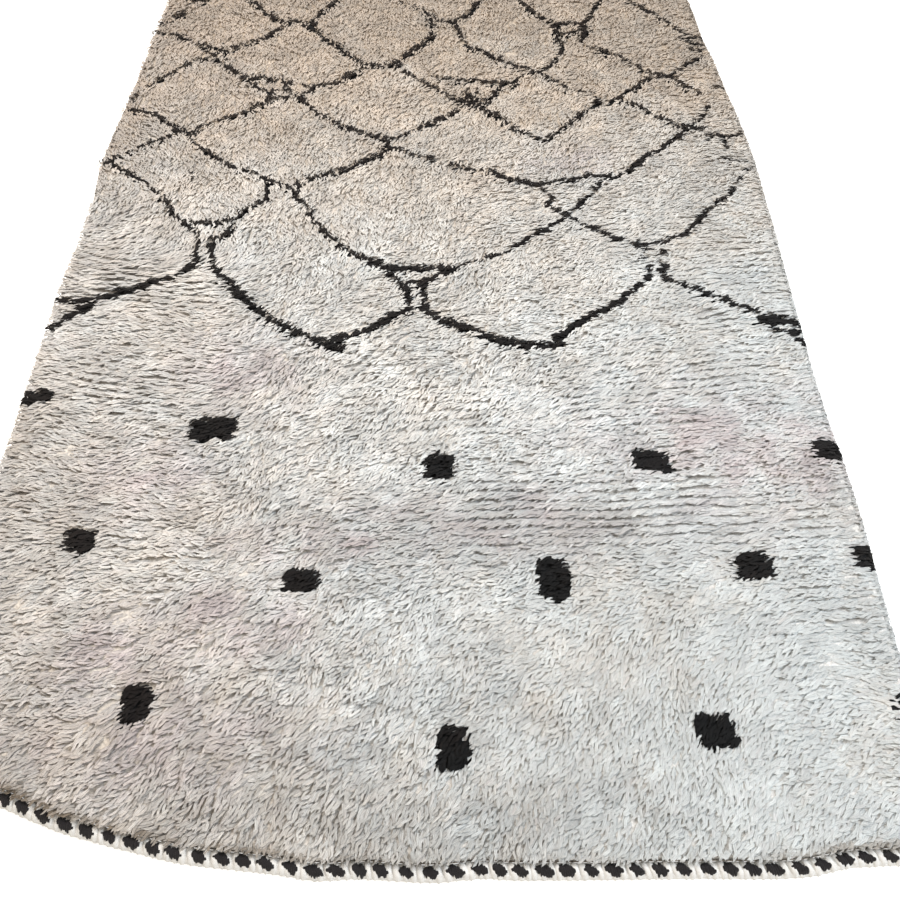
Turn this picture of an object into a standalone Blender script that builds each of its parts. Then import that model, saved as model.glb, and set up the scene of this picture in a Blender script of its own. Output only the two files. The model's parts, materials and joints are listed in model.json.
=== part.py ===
"""Shag rug of undyed wool, knotted by hand, lying flat, with a whipped binding along one end.

X runs across the rug, Y along it from the bound end to the far end, and Z up from the floor.
All sizes are in metres.
"""
import random

import bmesh
import bpy
from mathutils import Vector, noise

# Sizes of the knotted cloth
RUG_LENGTH = 2.70          # from the middle of the bound end to the far end
PILE_DEPTH = 0.0245        # foundation and pile together, at rest
PILE_LUMP = 0.0052         # how far the pile's lumps rise and sink
PILE_RAGGED = 0.0014       # unevenness from one handful of tufts to the next
LUMP_ACROSS = 0.085        # size of a lump across the rug
LUMP_ALONG = 0.120         # size of a lump along the rug
RIM_DEPTH = 0.0195         # the pile thins out towards the rim
RIM_INSET = 0.007          # how far the pile's shoulder stands back from the rim
PILE_COLUMNS = 46          # one for each stitch of the binding
PILE_ROWS = 64

# Locks of pile that spread past the rim
LOCK_LENGTH = 0.027
LOCK_LENGTH_VARIES = 0.006
LOCK_LEAN = 0.011          # how far a lock's tip lies to one side of its root
LOCK_WAIST = 0.60          # width of a lock at its middle, as a share of its root
SIDE_ROOT_LOW = 0.0030
SIDE_ROOT_HIGH = 0.0165
SIDE_TIP_HEIGHT = 0.0018
END_LOCK_LENGTH = 0.010    # short locks that hang over the binding
END_ROOT_LOW = 0.0185
END_ROOT_HIGH = 0.0225

# The binding of the near end
GAP = 0.0003               # clearance between pieces that touch
BINDING_WIDTH = 0.0275
BINDING_SIDE_HEIGHT = 0.006
BINDING_CHAMFER = 0.005
BINDING_SCALLOP = 0.0012   # the binding's outer edge draws in between stitches

# Outline of the knotted cloth without its locks: distance along the rug, left rim, right rim
SIDES = (
    (0.00, -0.772, 0.764),
    (0.20, -0.779, 0.771),
    (0.42, -0.784, 0.777),
    (0.62, -0.787, 0.787),
    (0.90, -0.786, 0.785),
    (1.25, -0.791, 0.796),
    (1.45, -0.788, 0.804),
    (1.75, -0.805, 0.813),
    (2.08, -0.788, 0.797),
    (2.30, -0.783, 0.783),
    (2.50, -0.774, 0.776),
    (2.70, -0.762, 0.764),
)

# Outer edge of the binding: distance across the rug, distance along it
NEAR_END = (
    (-0.80, 0.180),
    (-0.63, 0.112),
    (-0.58, 0.092),
    (-0.53, 0.073),
    (-0.44, 0.049),
    (-0.35, 0.028),
    (-0.26, 0.017),
    (-0.20, 0.010),
    (-0.15, 0.002),
    (-0.09, 0.004),
    (0.02, -0.002),
    (0.09, 0.003),
    (0.14, 0.000),
    (0.40, 0.000),
    (0.55, 0.000),
    (0.63, 0.013),
    (0.80, 0.016),
)

# Far edge: distance across the rug, how far it runs past the rug's length
FAR_END = (
    (-0.80, -0.006),
    (-0.50, 0.002),
    (-0.10, -0.004),
    (0.30, 0.003),
    (0.80, -0.005),
)

# One stitch of the binding, from one white wrap to the next: place along the stitch, height of the white
# cord, offset of the dark strand from the cloth, half width of the strand, half width of its foot, and
# height of the strand
STITCH = (
    (0.00, 0.0140, 0.0068, 0.0019, 0.0014, 0.0020),
    (0.16, 0.0130, 0.0105, 0.0034, 0.0026, 0.0026),
    (0.33, 0.0112, 0.0142, 0.0098, 0.0078, 0.0042),
    (0.67, 0.0112, 0.0146, 0.0102, 0.0078, 0.0044),
    (0.84, 0.0130, 0.0112, 0.0036, 0.0026, 0.0026),
)
STITCH_VARIES = 0.14       # a stitch is up to this share wider or narrower than the next

IVORY_WOOL = (0.62, 0.58, 0.53, 1.0)
WHITE_BINDING_WOOL = (0.72, 0.71, 0.69, 1.0)
BLACK_WOOL = (0.018, 0.016, 0.016, 1.0)
WOOL_ROUGHNESS = 0.92

hand = random.Random(11)


def clear_scene():
    """Remove every object of the opened scene."""
    for old in list(bpy.data.objects):
        bpy.data.objects.remove(old, do_unlink=True)


def read_table(rows, at, column):
    """Value of a table's column at a place, on a smooth curve through the rows."""
    at = min(max(at, rows[0][0]), rows[-1][0])
    upper = next(k for k in range(1, len(rows)) if at <= rows[k][0])
    near = rows[upper - 1]
    far = rows[upper]
    before = rows[max(upper - 2, 0)]
    after = rows[min(upper + 1, len(rows) - 1)]
    span = far[0] - near[0]
    near_slope = (far[column] - before[column]) / (far[0] - before[0]) * span
    far_slope = (after[column] - near[column]) / (after[0] - near[0]) * span
    t = (at - near[0]) / span
    held = near[column] * (2 * t ** 3 - 3 * t ** 2 + 1) + far[column] * (3 * t ** 2 - 2 * t ** 3)
    return held + near_slope * (t ** 3 - 2 * t ** 2 + t) + far_slope * (t ** 3 - t ** 2)


def cloth_point(column, row):
    """Place on the floor of one corner of the pile's grid."""
    across = column / PILE_COLUMNS
    along = row / PILE_ROWS
    near_x = SIDES[0][1] + (SIDES[0][2] - SIDES[0][1]) * across
    near_y = read_table(NEAR_END, near_x, 1) + BINDING_WIDTH
    far_y = RUG_LENGTH + read_table(FAR_END, near_x, 1)
    y = near_y + (far_y - near_y) * along
    left = read_table(SIDES, y, 1)
    right = read_table(SIDES, y, 2)
    return Vector((left + (right - left) * across, y, 0.0))


def pile_height(place):
    """Depth of the pile over one place on the floor."""
    lump = noise.noise(Vector((place.x / LUMP_ACROSS, place.y / LUMP_ALONG, 3.1)))
    swell = noise.noise(Vector((place.x / 0.31, place.y / 0.24, 8.7)))
    ragged = hand.uniform(-PILE_RAGGED, PILE_RAGGED)
    return PILE_DEPTH + PILE_LUMP * (1.5 * lump + 0.7 * swell) + ragged


def rim_places():
    """Corners of the grid along the rim, counter-clockwise from the left end of the binding."""
    near = [(c, 0) for c in range(PILE_COLUMNS)]
    right = [(PILE_COLUMNS, r) for r in range(PILE_ROWS)]
    far = [(c, PILE_ROWS) for c in range(PILE_COLUMNS, 0, -1)]
    left = [(0, r) for r in range(PILE_ROWS, 0, -1)]
    return near + right + far + left


def outward(before, after):
    """Level direction that points away from the cloth, from two neighbours on the rim."""
    run = (after - before).normalized()
    return Vector((run.y, -run.x, 0.0))


def add_lock(bm, root, length, lean, tip_height, sink):
    """One tapered lock of pile on the rim, from the four corners of its root."""
    low_a, low_b, high_b, high_a = root
    run = low_b.co - low_a.co
    out = outward(low_a.co, low_b.co)
    side = run.normalized() * lean
    middle = (low_a.co + low_b.co) / 2
    reach = middle + out * length * 0.55 + side * 0.4
    half = run * LOCK_WAIST / 2
    low = low_a.co.z + (tip_height - low_a.co.z) * 0.6
    high = high_a.co.z - sink
    waist = [
        bm.verts.new((reach.x - half.x, reach.y - half.y, low)),
        bm.verts.new((reach.x + half.x, reach.y + half.y, low)),
        bm.verts.new((reach.x + half.x * 0.7, reach.y + half.y * 0.7, high)),
        bm.verts.new((reach.x - half.x * 0.7, reach.y - half.y * 0.7, high)),
    ]
    end = middle + out * length + side
    tip = bm.verts.new((end.x, end.y, tip_height))
    for k in range(4):
        n = (k + 1) % 4
        bm.faces.new((root[k], root[n], waist[n], waist[k]))
        bm.faces.new((waist[k], waist[n], tip))


def make_knotted_cloth():
    """The knotted cloth: a flat underside, a lumpy top of pile, and locks all round its rim."""
    bm = bmesh.new()
    rim = rim_places()
    count = len(rim)
    places = [cloth_point(c, r) for c, r in rim]
    outs = [outward(places[k - 1], places[(k + 1) % count]) for k in range(count)]
    over = {}
    for key, place, out in zip(rim, places, outs):
        least = END_ROOT_HIGH + 0.001 if key[1] == 0 else 0.0
        depth = max(RIM_DEPTH + (pile_height(place) - PILE_DEPTH) / 2, least)
        over[key] = bm.verts.new((place.x - out.x * RIM_INSET, place.y - out.y * RIM_INSET, depth))
    for column in range(1, PILE_COLUMNS):
        for row in range(1, PILE_ROWS):
            place = cloth_point(column, row)
            over[(column, row)] = bm.verts.new((place.x, place.y, pile_height(place)))
    for column in range(PILE_COLUMNS):
        for row in range(PILE_ROWS):
            bm.faces.new((over[(column, row)], over[(column + 1, row)],
                          over[(column + 1, row + 1)], over[(column, row + 1)]))
    floor = []
    low = []
    high = []
    for (column, row), place in zip(rim, places):
        root_low = END_ROOT_LOW if row == 0 else SIDE_ROOT_LOW
        root_high = END_ROOT_HIGH if row == 0 else SIDE_ROOT_HIGH
        floor.append(bm.verts.new((place.x, place.y, 0.0)))
        low.append(bm.verts.new((place.x, place.y, root_low)))
        high.append(bm.verts.new((place.x, place.y, root_high)))
    for k in range(count):
        n = (k + 1) % count
        bm.faces.new((floor[k], floor[n], low[n], low[k]))
        bm.faces.new((high[k], high[n], over[rim[n]], over[rim[k]]))
        root = (low[k], low[n], high[n], high[k])
        varies = hand.uniform(-1.0, 1.0)
        lean = hand.uniform(-1.0, 1.0) * LOCK_LEAN
        if rim[k][1] == 0 and rim[n][1] == 0:
            length = END_LOCK_LENGTH * (1.0 + 0.25 * varies)
            add_lock(bm, root, length, lean * 0.5, END_ROOT_LOW, 0.0015)
        else:
            length = LOCK_LENGTH + LOCK_LENGTH_VARIES * varies
            add_lock(bm, root, length, lean, SIDE_TIP_HEIGHT, 0.006 + 0.002 * varies)
    bm.faces.new(list(reversed(floor)))
    return bm


def binding_sections():
    """Places along the binding: a point on the cloth's wall, its outward direction and the stitch's row."""
    walls = [cloth_point(c, 0) for c in range(PILE_COLUMNS + 1)]
    sections = []
    for column in range(PILE_COLUMNS):
        start = walls[column]
        end = walls[column + 1]
        straight = outward(start, end)
        corner = outward(walls[max(column - 1, 0)], end)
        size = 1.0 + hand.uniform(-STITCH_VARIES, STITCH_VARIES)
        for row in STITCH:
            out = corner if row[0] == 0.0 else straight
            sections.append((start.lerp(end, row[0]), out, row, size))
    sections.append((walls[-1], outward(walls[-2], walls[-1]), STITCH[0], 1.0))
    return sections


def loft(sections):
    """Closed body through rings of the same number of points, with its two ends capped."""
    bm = bmesh.new()
    rings = [[bm.verts.new(point) for point in ring] for ring in sections]
    sides = len(rings[0])
    for ring, following in zip(rings, rings[1:]):
        for k in range(sides):
            n = (k + 1) % sides
            bm.faces.new((ring[k], ring[n], following[n], following[k]))
    bm.faces.new(list(reversed(rings[0])))
    bm.faces.new(rings[-1])
    return bm


def placed(wall, out, offsets_and_heights):
    """Points of one section, each at a distance from the cloth's wall and a height over the floor."""
    return [wall + out * offset + Vector((0.0, 0.0, height)) for offset, height in offsets_and_heights]


def make_binding_cord(sections):
    """White wrapped cord that closes the near end, lower under each dark stitch."""
    rings = []
    for wall, out, row, size in sections:
        waist = abs(row[0] - 0.5) * 2.0
        width = BINDING_WIDTH - BINDING_SCALLOP * waist
        height = row[1]
        rings.append(placed(wall, out, (
            (GAP + 0.0010, 0.0),
            (GAP, BINDING_SIDE_HEIGHT),
            (GAP + BINDING_CHAMFER, height),
            (BINDING_WIDTH - BINDING_CHAMFER, height),
            (width, BINDING_SIDE_HEIGHT),
            (width - 0.0020, 0.0),
        )))
    return loft(rings)


def make_dark_strand(sections):
    """Black strand on top of the cord: a lens at each stitch, thin where it passes a white wrap."""
    rings = []
    for wall, out, row, size in sections:
        foot_height = row[1] + GAP
        middle = row[2]
        half = row[3] * size
        foot = row[4]
        rise = row[5]
        rings.append(placed(wall, out, (
            (middle - foot, foot_height),
            (middle - half, foot_height + rise * 0.4),
            (middle, foot_height + rise),
            (middle + half, foot_height + rise * 0.4),
            (middle + foot, foot_height),
        )))
    return loft(rings)


def wool(name, colour):
    """Matt wool of one colour."""
    material = bpy.data.materials.new(name)
    material.use_nodes = True
    shader = material.node_tree.nodes["Principled BSDF"]
    shader.inputs["Base Color"].default_value = colour
    shader.inputs["Roughness"].default_value = WOOL_ROUGHNESS
    shader.inputs["Metallic"].default_value = 0.0
    material.diffuse_color = colour
    return material


def finish(name, bm, material):
    """Turn a worked shape into a named object of the scene."""
    bmesh.ops.triangulate(bm, faces=bm.faces[:])
    bmesh.ops.recalc_face_normals(bm, faces=bm.faces[:])
    mesh = bpy.data.meshes.new(name)
    bm.to_mesh(mesh)
    bm.free()
    mesh.materials.append(material)
    piece = bpy.data.objects.new(name, mesh)
    bpy.context.scene.collection.objects.link(piece)
    return piece


def centre_on_floor(pieces):
    """Stand the middle of the rug's bounding box over the origin, with its underside on the floor."""
    points = [vertex.co for piece in pieces for vertex in piece.data.vertices]
    middle_x = (min(p.x for p in points) + max(p.x for p in points)) / 2
    middle_y = (min(p.y for p in points) + max(p.y for p in points)) / 2
    lowest = min(p.z for p in points)
    shift = Vector((-middle_x, -middle_y, -lowest))
    for piece in pieces:
        for vertex in piece.data.vertices:
            vertex.co += shift


clear_scene()
ivory_wool = wool("ivory_pile_wool", IVORY_WOOL)
white_wool = wool("white_binding_wool", WHITE_BINDING_WOOL)
black_wool = wool("black_wool", BLACK_WOOL)
cloth = finish("shag_cloth", make_knotted_cloth(), ivory_wool)
sections = binding_sections()
cord = finish("end_binding", make_binding_cord(sections), white_wool)
strand = finish("binding_stitches", make_dark_strand(sections), black_wool)
centre_on_floor([cloth, cord, strand])
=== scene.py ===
# %% [markdown]
# # A shag rug of hand-knotted wool
# The rug lies flat. It has a woven wool foundation, rows of long wool tufts knotted round its warps, a lattice
# and spots knotted in black wool, and an end bound with white and black yarn. The solids that carry its size
# and weight are loaded first. They are the frame that each piece made here has to sit in.

# %% Load the frame
import json
import math

import bpy
import numpy as np
from mathutils import Matrix, Vector, kdtree, noise

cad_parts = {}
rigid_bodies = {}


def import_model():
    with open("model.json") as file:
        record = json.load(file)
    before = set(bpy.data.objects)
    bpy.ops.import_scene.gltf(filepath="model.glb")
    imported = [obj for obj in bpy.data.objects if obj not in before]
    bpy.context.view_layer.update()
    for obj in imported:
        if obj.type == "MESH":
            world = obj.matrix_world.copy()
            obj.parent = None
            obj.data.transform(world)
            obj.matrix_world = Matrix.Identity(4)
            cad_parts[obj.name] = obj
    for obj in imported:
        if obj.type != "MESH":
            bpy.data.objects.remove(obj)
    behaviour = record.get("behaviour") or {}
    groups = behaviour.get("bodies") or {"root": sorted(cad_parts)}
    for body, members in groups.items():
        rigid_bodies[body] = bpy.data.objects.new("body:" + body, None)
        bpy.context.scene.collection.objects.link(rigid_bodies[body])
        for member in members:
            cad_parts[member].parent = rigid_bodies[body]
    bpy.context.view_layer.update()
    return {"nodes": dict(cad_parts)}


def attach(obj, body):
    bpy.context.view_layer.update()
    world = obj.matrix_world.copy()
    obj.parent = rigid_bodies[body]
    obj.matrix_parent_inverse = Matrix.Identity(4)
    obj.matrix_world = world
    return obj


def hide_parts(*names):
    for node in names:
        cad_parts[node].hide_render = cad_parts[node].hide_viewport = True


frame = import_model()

print("frame:", sorted(frame["nodes"]))

# %% [markdown]
# ## Helpers
# A colour picked on a screen is sRGB, and a shader wants linear light, so one function turns a hex value to
# linear. Node trees are easier to read when each node takes one line, so one function adds a node, sets it up,
# links its inputs and hands back the output that the next node reads.

# %% Colour and node helpers
def linear(hex_colour):
    """Linear colour, with alpha, of an sRGB hex value."""
    parts = [int(hex_colour[k:k + 2], 16) / 255 for k in (1, 3, 5)]
    return [p / 12.92 if p <= 0.04045 else ((p + 0.055) / 1.055) ** 2.4 for p in parts] + [1.0]


def add(tree, kind, inputs=None, out=None, **settings):
    """Add a node to a tree, set its properties, and fill or link its inputs.

    The result is the output named in out, or else the first output that the node's settings leave in use.
    """
    node = tree.nodes.new(kind)
    for name, value in settings.items():
        setattr(node, name, value)
    for key, value in (inputs or {}).items():
        if isinstance(value, bpy.types.NodeSocket):
            tree.links.new(value, node.inputs[key])
        else:
            node.inputs[key].default_value = value
    if out:
        return node.outputs[out]
    return next((socket for socket in node.outputs if socket.enabled), None)


print("ivory in linear light:", [round(part, 3) for part in linear("#DCE0E0")])

# %% [markdown]
# ## The outline of the cloth
# Wool cloth that comes off a village loom is never square. The sides swell by a few centimetres where the
# weaver packed the wefts more loosely, and the bound end sweeps back on the left. Short tables hold that, with
# a smooth curve through their rows. All tables of this rug measure from the middle of the bound end: across
# the rug, and along it towards the far end. `SHIFT` moves that point to its place in the frame.

# %% Tables of the outline, in metres
SHIFT = np.array([-0.00406, -1.36621])
RUG_LENGTH = 2.70
CLOTH_WIDTH = 1.58         # mean width between the sides
BINDING_WIDTH = 0.0275
KNOT_DEPTH = 0.0245        # mean depth of foundation and pile together
PILE_SWELL = 0.018         # how far the pile swells past the cloth

# distance along the rug, left rim, right rim
SIDES = (
    (0.00, -0.772, 0.764),
    (0.20, -0.779, 0.771),
    (0.42, -0.784, 0.777),
    (0.62, -0.787, 0.787),
    (0.90, -0.786, 0.785),
    (1.25, -0.791, 0.796),
    (1.45, -0.788, 0.804),
    (1.75, -0.805, 0.813),
    (2.08, -0.788, 0.797),
    (2.30, -0.783, 0.783),
    (2.50, -0.774, 0.776),
    (2.70, -0.762, 0.764),
)

# distance across the rug, outer edge of the binding
NEAR_END = (
    (-0.80, 0.180),
    (-0.63, 0.112),
    (-0.58, 0.092),
    (-0.53, 0.073),
    (-0.44, 0.049),
    (-0.35, 0.028),
    (-0.26, 0.017),
    (-0.20, 0.010),
    (-0.15, 0.002),
    (-0.09, 0.004),
    (0.02, -0.002),
    (0.09, 0.003),
    (0.14, 0.000),
    (0.40, 0.000),
    (0.55, 0.000),
    (0.63, 0.013),
    (0.80, 0.016),
)

# distance across the rug, how far the far edge runs past the rug's length
FAR_END = (
    (-0.80, -0.006),
    (-0.50, 0.002),
    (-0.10, -0.004),
    (0.30, 0.003),
    (0.80, -0.005),
)

# %% Places on the cloth and on the pile
def read_table(rows, at, column=1):
    """Values of a table's column at an array of places, on a smooth curve through the rows."""
    table = np.array(rows, float)
    x, y = table[:, 0], table[:, column]
    at = np.clip(at, x[0], x[-1])
    far = np.clip(np.searchsorted(x, at), 1, len(x) - 1)
    near, before, after = far - 1, np.maximum(far - 2, 0), np.minimum(far + 1, len(x) - 1)
    span = x[far] - x[near]
    near_slope = (y[far] - y[before]) / (x[far] - x[before]) * span
    far_slope = (y[after] - y[near]) / (x[after] - x[near]) * span
    t = (at - x[near]) / span
    held = y[near] * (2 * t ** 3 - 3 * t ** 2 + 1) + y[far] * (3 * t ** 2 - 2 * t ** 3)
    return held + near_slope * (t ** 3 - 2 * t ** 2 + t) + far_slope * (t ** 3 - t ** 2)


def cloth_place(across, along):
    """Place on the cloth of shares across (0 left, 1 right) and along (0 bound end, 1 far end)."""
    near_x = SIDES[0][1] + (SIDES[0][2] - SIDES[0][1]) * across
    near_y = read_table(NEAR_END, near_x) + BINDING_WIDTH
    y = near_y + (RUG_LENGTH + read_table(FAR_END, near_x) - near_y) * along
    left, right = read_table(SIDES, y, 1), read_table(SIDES, y, 2)
    return np.stack([left + (right - left) * across, y], -1)


def pile_place(across, along):
    """Place of the pile at such shares. It is fuller than its cloth, and swells past the sides and far end."""
    places = cloth_place(across, along)
    places[:, 0] += PILE_SWELL * (2 * across - 1) ** 5
    places[:, 1] += PILE_SWELL * along ** 9
    return places


corners = cloth_place(np.array([0.0, 1.0, 1.0, 0.0]), np.array([0.0, 0.0, 1.0, 1.0]))
print("corners of the cloth, m:", np.round(corners, 3).tolist())

# %% [markdown]
# ## The lattice and the spots
# The weaver knots black wool into the ivory pile, by eye and from memory, so no two diamonds are alike. The
# lattice is charted as links between crossings. A link has two ends, a bow, which is how far its middle
# swings to the left of the straight way, and the breadth of its black knots. Where two diamonds nearly touch,
# the weaver drew the two lines side by side, as short bars.

# %% Chart of the lattice, in centimetres: from, to, bow, breadth
LATTICE = (
    # lower edge of the lattice, left to right
    ((-81, 119), (-53, 131), -2.5, 2.0), ((-81, 111), (-74, 118), 0.4, 1.8),
    ((-53, 131), (-53, 139), 0.3, 1.8), ((-49, 130), (-50, 139), -0.4, 1.8),
    ((-49, 130), (-18, 103), -2.5, 1.8), ((-20, 106), (-4, 116), -0.8, 2.0),
    ((-4, 116), (-10, 130), -1.3, 1.7), ((-12, 130), (6, 129), -0.7, 2.4), ((-5, 124), (5, 128), -1.2, 1.8),
    ((-1, 124), (-1, 116), 0.2, 1.8), ((0, 115), (22, 104), -0.9, 1.8), ((20, 104), (28, 105), -0.4, 2.0),
    ((27, 107), (49, 125), -0.4, 1.7), ((49, 125), (50, 130), 0.3, 1.9), ((49, 132), (50, 136), 0.2, 1.6),
    ((53, 126), (53, 130), 0.2, 2.1), ((53, 133), (54, 134), 0.0, 1.2), ((46, 137), (55, 137), -0.5, 1.7),
    ((53, 125), (73, 112), 0.5, 1.5), ((72, 112), (82, 111), 0.0, 2.4), ((74, 109), (82, 106), 0.3, 2.0),
    # second row of crossings
    ((-53, 139), (-60, 148), -0.8, 1.3), ((-81, 169), (-60, 148), 2.4, 1.4),
    ((-60, 148), (-45, 146), -1.3, 1.6), ((-50, 139), (-45, 146), -1.7, 1.7),
    ((-45, 146), (-39, 153), 0.8, 1.7), ((-39, 153), (-39, 161), 0.5, 1.7),
    ((-39, 161), (-32, 157), 0.6, 1.7), ((-32, 157), (-10, 130), -3.4, 1.5),
    ((-32, 161), (-31, 158), 0.0, 1.4), ((6, 129), (33, 148), -1.8, 1.6), ((33, 148), (47, 137), -0.8, 1.7),
    ((55, 137), (82, 168), -1.3, 1.6), ((33, 148), (29, 152), 0.3, 1.8), ((29, 152), (29, 156), -0.8, 1.5),
    ((29, 156), (23, 160), -0.4, 1.3), ((34, 149), (45, 163), 0.3, 1.8), ((-59, 165), (-58, 161), 0.3, 0.9),
    # third row of crossings
    ((-63, 182), (-39, 162), -2.5, 1.4), ((-30, 162), (-12, 172), -1.8, 2.0),
    ((-12, 172), (-10, 177), -0.4, 1.8), ((-10, 175), (24, 160), -1.0, 1.8),
    ((24, 160), (45, 164), -1.3, 1.5), ((46, 162), (54, 169), -0.9, 1.6), ((54, 170), (68, 183), -0.5, 1.5),
    ((-81, 168), (-64, 182), 0.6, 1.6), ((-65, 183), (-61, 182), 0.0, 2.8),
    ((-34, 197), (-10, 177), -2.0, 1.6), ((-11, 178), (9, 193), -1.1, 1.6), ((15, 193), (29, 177), -0.6, 1.6),
    ((29, 177), (46, 196), -0.6, 1.8), ((51, 196), (65, 184), 0.3, 1.6), ((65, 183), (71, 182), 0.3, 1.9),
    ((72, 179), (83, 182), -0.8, 1.1), ((76, 179), (75, 174), 0.3, 1.3), ((74, 170), (80, 168), 0.0, 1.1),
    ((-61, 184), (-43, 195), -0.6, 1.6), ((-81, 194), (-64, 183), 0.9, 1.7), ((74, 193), (69, 184), 0.4, 1.5),
    # fourth row of crossings
    ((-80, 196), (-62, 218), 2.5, 1.4), ((-61, 219), (-50, 207), -0.4, 1.6),
    ((-58, 220), (-57, 217), 0.0, 1.2), ((-51, 207), (-38, 206), -0.3, 2.0),
    ((-48, 204), (-42, 199), 0.0, 1.4), ((-42, 202), (-43, 195), 0.2, 1.8),
    ((-43, 196), (-38, 198), 0.0, 2.0), ((-41, 204), (-35, 197), 0.3, 1.7),
    ((-38, 205), (-30, 204), -0.5, 1.5), ((-31, 204), (-35, 197), 0.3, 1.7),
    ((-30, 204), (-18, 213), -2.0, 1.9), ((-18, 214), (-9, 214), -0.3, 2.6), ((-9, 213), (7, 197), -0.7, 1.6),
    ((0, 208), (24, 205), -1.6, 1.7), ((24, 206), (29, 209), 0.4, 1.5), ((24, 206), (23, 202), 0.0, 1.3),
    ((20, 204), (14, 193), 0.9, 1.8), ((10, 200), (11, 194), 0.3, 1.7), ((13, 200), (13, 194), -0.3, 1.6),
    ((6, 197), (16, 195), -0.4, 1.9), ((46, 197), (31, 208), 0.6, 1.6), ((49, 195), (64, 207), 0.5, 1.8),
    ((61, 208), (68, 208), -0.3, 1.4), ((67, 207), (73, 198), -0.3, 1.5), ((67, 208), (77, 217), 0.5, 1.6),
    ((61, 209), (45, 222), -1.2, 1.7), ((78, 202), (82, 202), 0.0, 1.5),
    # fifth row of crossings
    ((-63, 221), (-81, 232), -2.3, 1.5), ((-65, 224), (-57, 221), 0.9, 2.0),
    ((-55, 222), (-43, 234), 0.2, 1.6), ((-44, 238), (-41, 236), 0.0, 1.6),
    ((-41, 238), (-34, 236), 0.3, 2.0), ((-36, 235), (-19, 215), 0.5, 1.7), ((-9, 215), (1, 229), -0.4, 1.8),
    ((1, 229), (1, 240), 0.3, 1.6), ((8, 238), (11, 224), -1.0, 1.5), ((3, 238), (7, 236), 0.0, 1.3),
    ((11, 224), (29, 209), 0.5, 1.7), ((30, 209), (39, 226), -1.5, 1.6), ((38, 226), (37, 234), 0.3, 2.0),
    ((44, 226), (45, 235), -0.3, 1.6), ((38, 230), (45, 232), 0.0, 2.3), ((37, 235), (44, 236), 0.5, 1.4),
    ((73, 226), (82, 229), 0.3, 1.5), ((74, 224), (82, 225), -0.3, 1.4), ((75, 221), (82, 222), 0.0, 1.2),
    ((-81, 236), (-76, 238), 0.3, 1.4), ((-75, 242), (-73, 242), 0.0, 2.6),
    # far end of the lattice
    ((-56, 252), (-44, 238), -0.4, 1.6), ((-36, 237), (-27, 252), -0.6, 1.8),
    ((-13, 252), (1, 240), 0.8, 1.4), ((9, 238), (17, 252), -0.6, 1.5), ((25, 252), (38, 234), 0.3, 1.3),
    ((46, 236), (54, 252), 0.5, 1.6), ((59, 252), (75, 228), 0.6, 1.3), ((-73, 250), (-68, 250), 0.0, 1.6),
    ((-56, 252), (-62, 259), 0.3, 1.6), ((-68, 250), (-62, 259), 0.3, 1.5),
    ((-27, 252), (-11, 271), 0.6, 1.6), ((-13, 252), (-29, 271), 0.6, 1.5), ((17, 252), (32, 271), -0.6, 1.5),
    ((25, 252), (10, 271), 0.5, 1.5), ((54, 252), (70, 271), 0.4, 1.6), ((59, 252), (44, 271), -0.4, 1.5),
    ((-62, 259), (-50, 271), 0.4, 1.6), ((-62, 259), (-74, 271), 0.4, 1.6),
)

# %% Chart of the spots, in centimetres: across, along, width, length, slant
SPOTS = (
    (-46.0, 26.0, 4.6, 5.8, 0.1), (4.6, 18.4, 5.2, 6.8, 0.0), (46.0, 20.6, 5.5, 5.6, 0.15),
    (78.5, 25.0, 6.0, 6.0, 0.0), (-62.5, 57.0, 5.0, 5.0, 0.0), (-22.0, 48.5, 5.8, 4.2, -0.2),
    (22.0, 48.5, 5.2, 7.4, 0.1), (57.5, 50.8, 5.8, 5.2, 0.1), (78.8, 53.0, 6.5, 4.5, 0.0),
    (-78.5, 91.0, 6.0, 4.0, 0.0), (-42.0, 82.3, 8.6, 5.4, -0.2), (2.2, 72.6, 5.0, 5.4, 0.0),
    (43.0, 74.3, 7.0, 5.0, 0.2), (78.0, 76.5, 7.6, 5.0, 0.0),
)

# %% Noise that wanders, and which wool is black
def wander(places, size, seed):
    """Smooth noise from -1 to 1 at each place, with swells of one size."""
    return np.array([noise.noise(Vector((x / size, y / size, seed))) for x, y in places]) * 1.6


def is_black(places, spread):
    """Whether wool that shows at these places is black: near a link of the lattice, or in a spot.

    spread is one number for each place, which makes the rims of the black parts ragged. Past the lattice's
    lower edge the weaver's lines are finer, and towards the far end they are more broken.
    """
    cm = places * 100
    unsteady = wander(places, 0.035, 5.5)
    cm = cm + np.stack([wander(places, 0.05, 1.5), wander(places, 0.05, 9.5)], -1) * 0.5
    full = np.interp(cm[:, 1], (112, 130, 165, 200, 225, 255), (1.10, 0.77, 0.70, 0.72, 0.92, 0.84))
    ragged = np.interp(cm[:, 1], (130, 200), (0.55, 1.05))
    black = np.zeros(len(cm), bool)
    for start, end, bow, breadth in LATTICE:
        start, end = np.array(start, float), np.array(end, float)
        run = end - start
        length = np.hypot(*run)
        way = run / length
        left = np.array([-way[1], way[0]])
        t = np.clip((cm - start) @ way / length, 0, 1)
        nearest = start + t[:, None] * run + left * (4 * bow * t * (1 - t))[:, None]
        apart = np.hypot(*(cm - nearest).T)
        black |= apart < breadth / 2 * (full + 0.35 * unsteady + ragged * spread)
    for x, y, width, spot_length, slant in SPOTS:
        dy = (cm[:, 1] - y) / spot_length * 2
        dx = (cm[:, 0] - x + slant * (cm[:, 1] - y)) / width * 2
        black |= np.abs(dx) ** 5 + np.abs(dy) ** 5 < 1.12 + 0.15 * unsteady + 0.12 * spread
    return black


print("links of the lattice:", len(LATTICE), " spots:", len(SPOTS))

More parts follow.
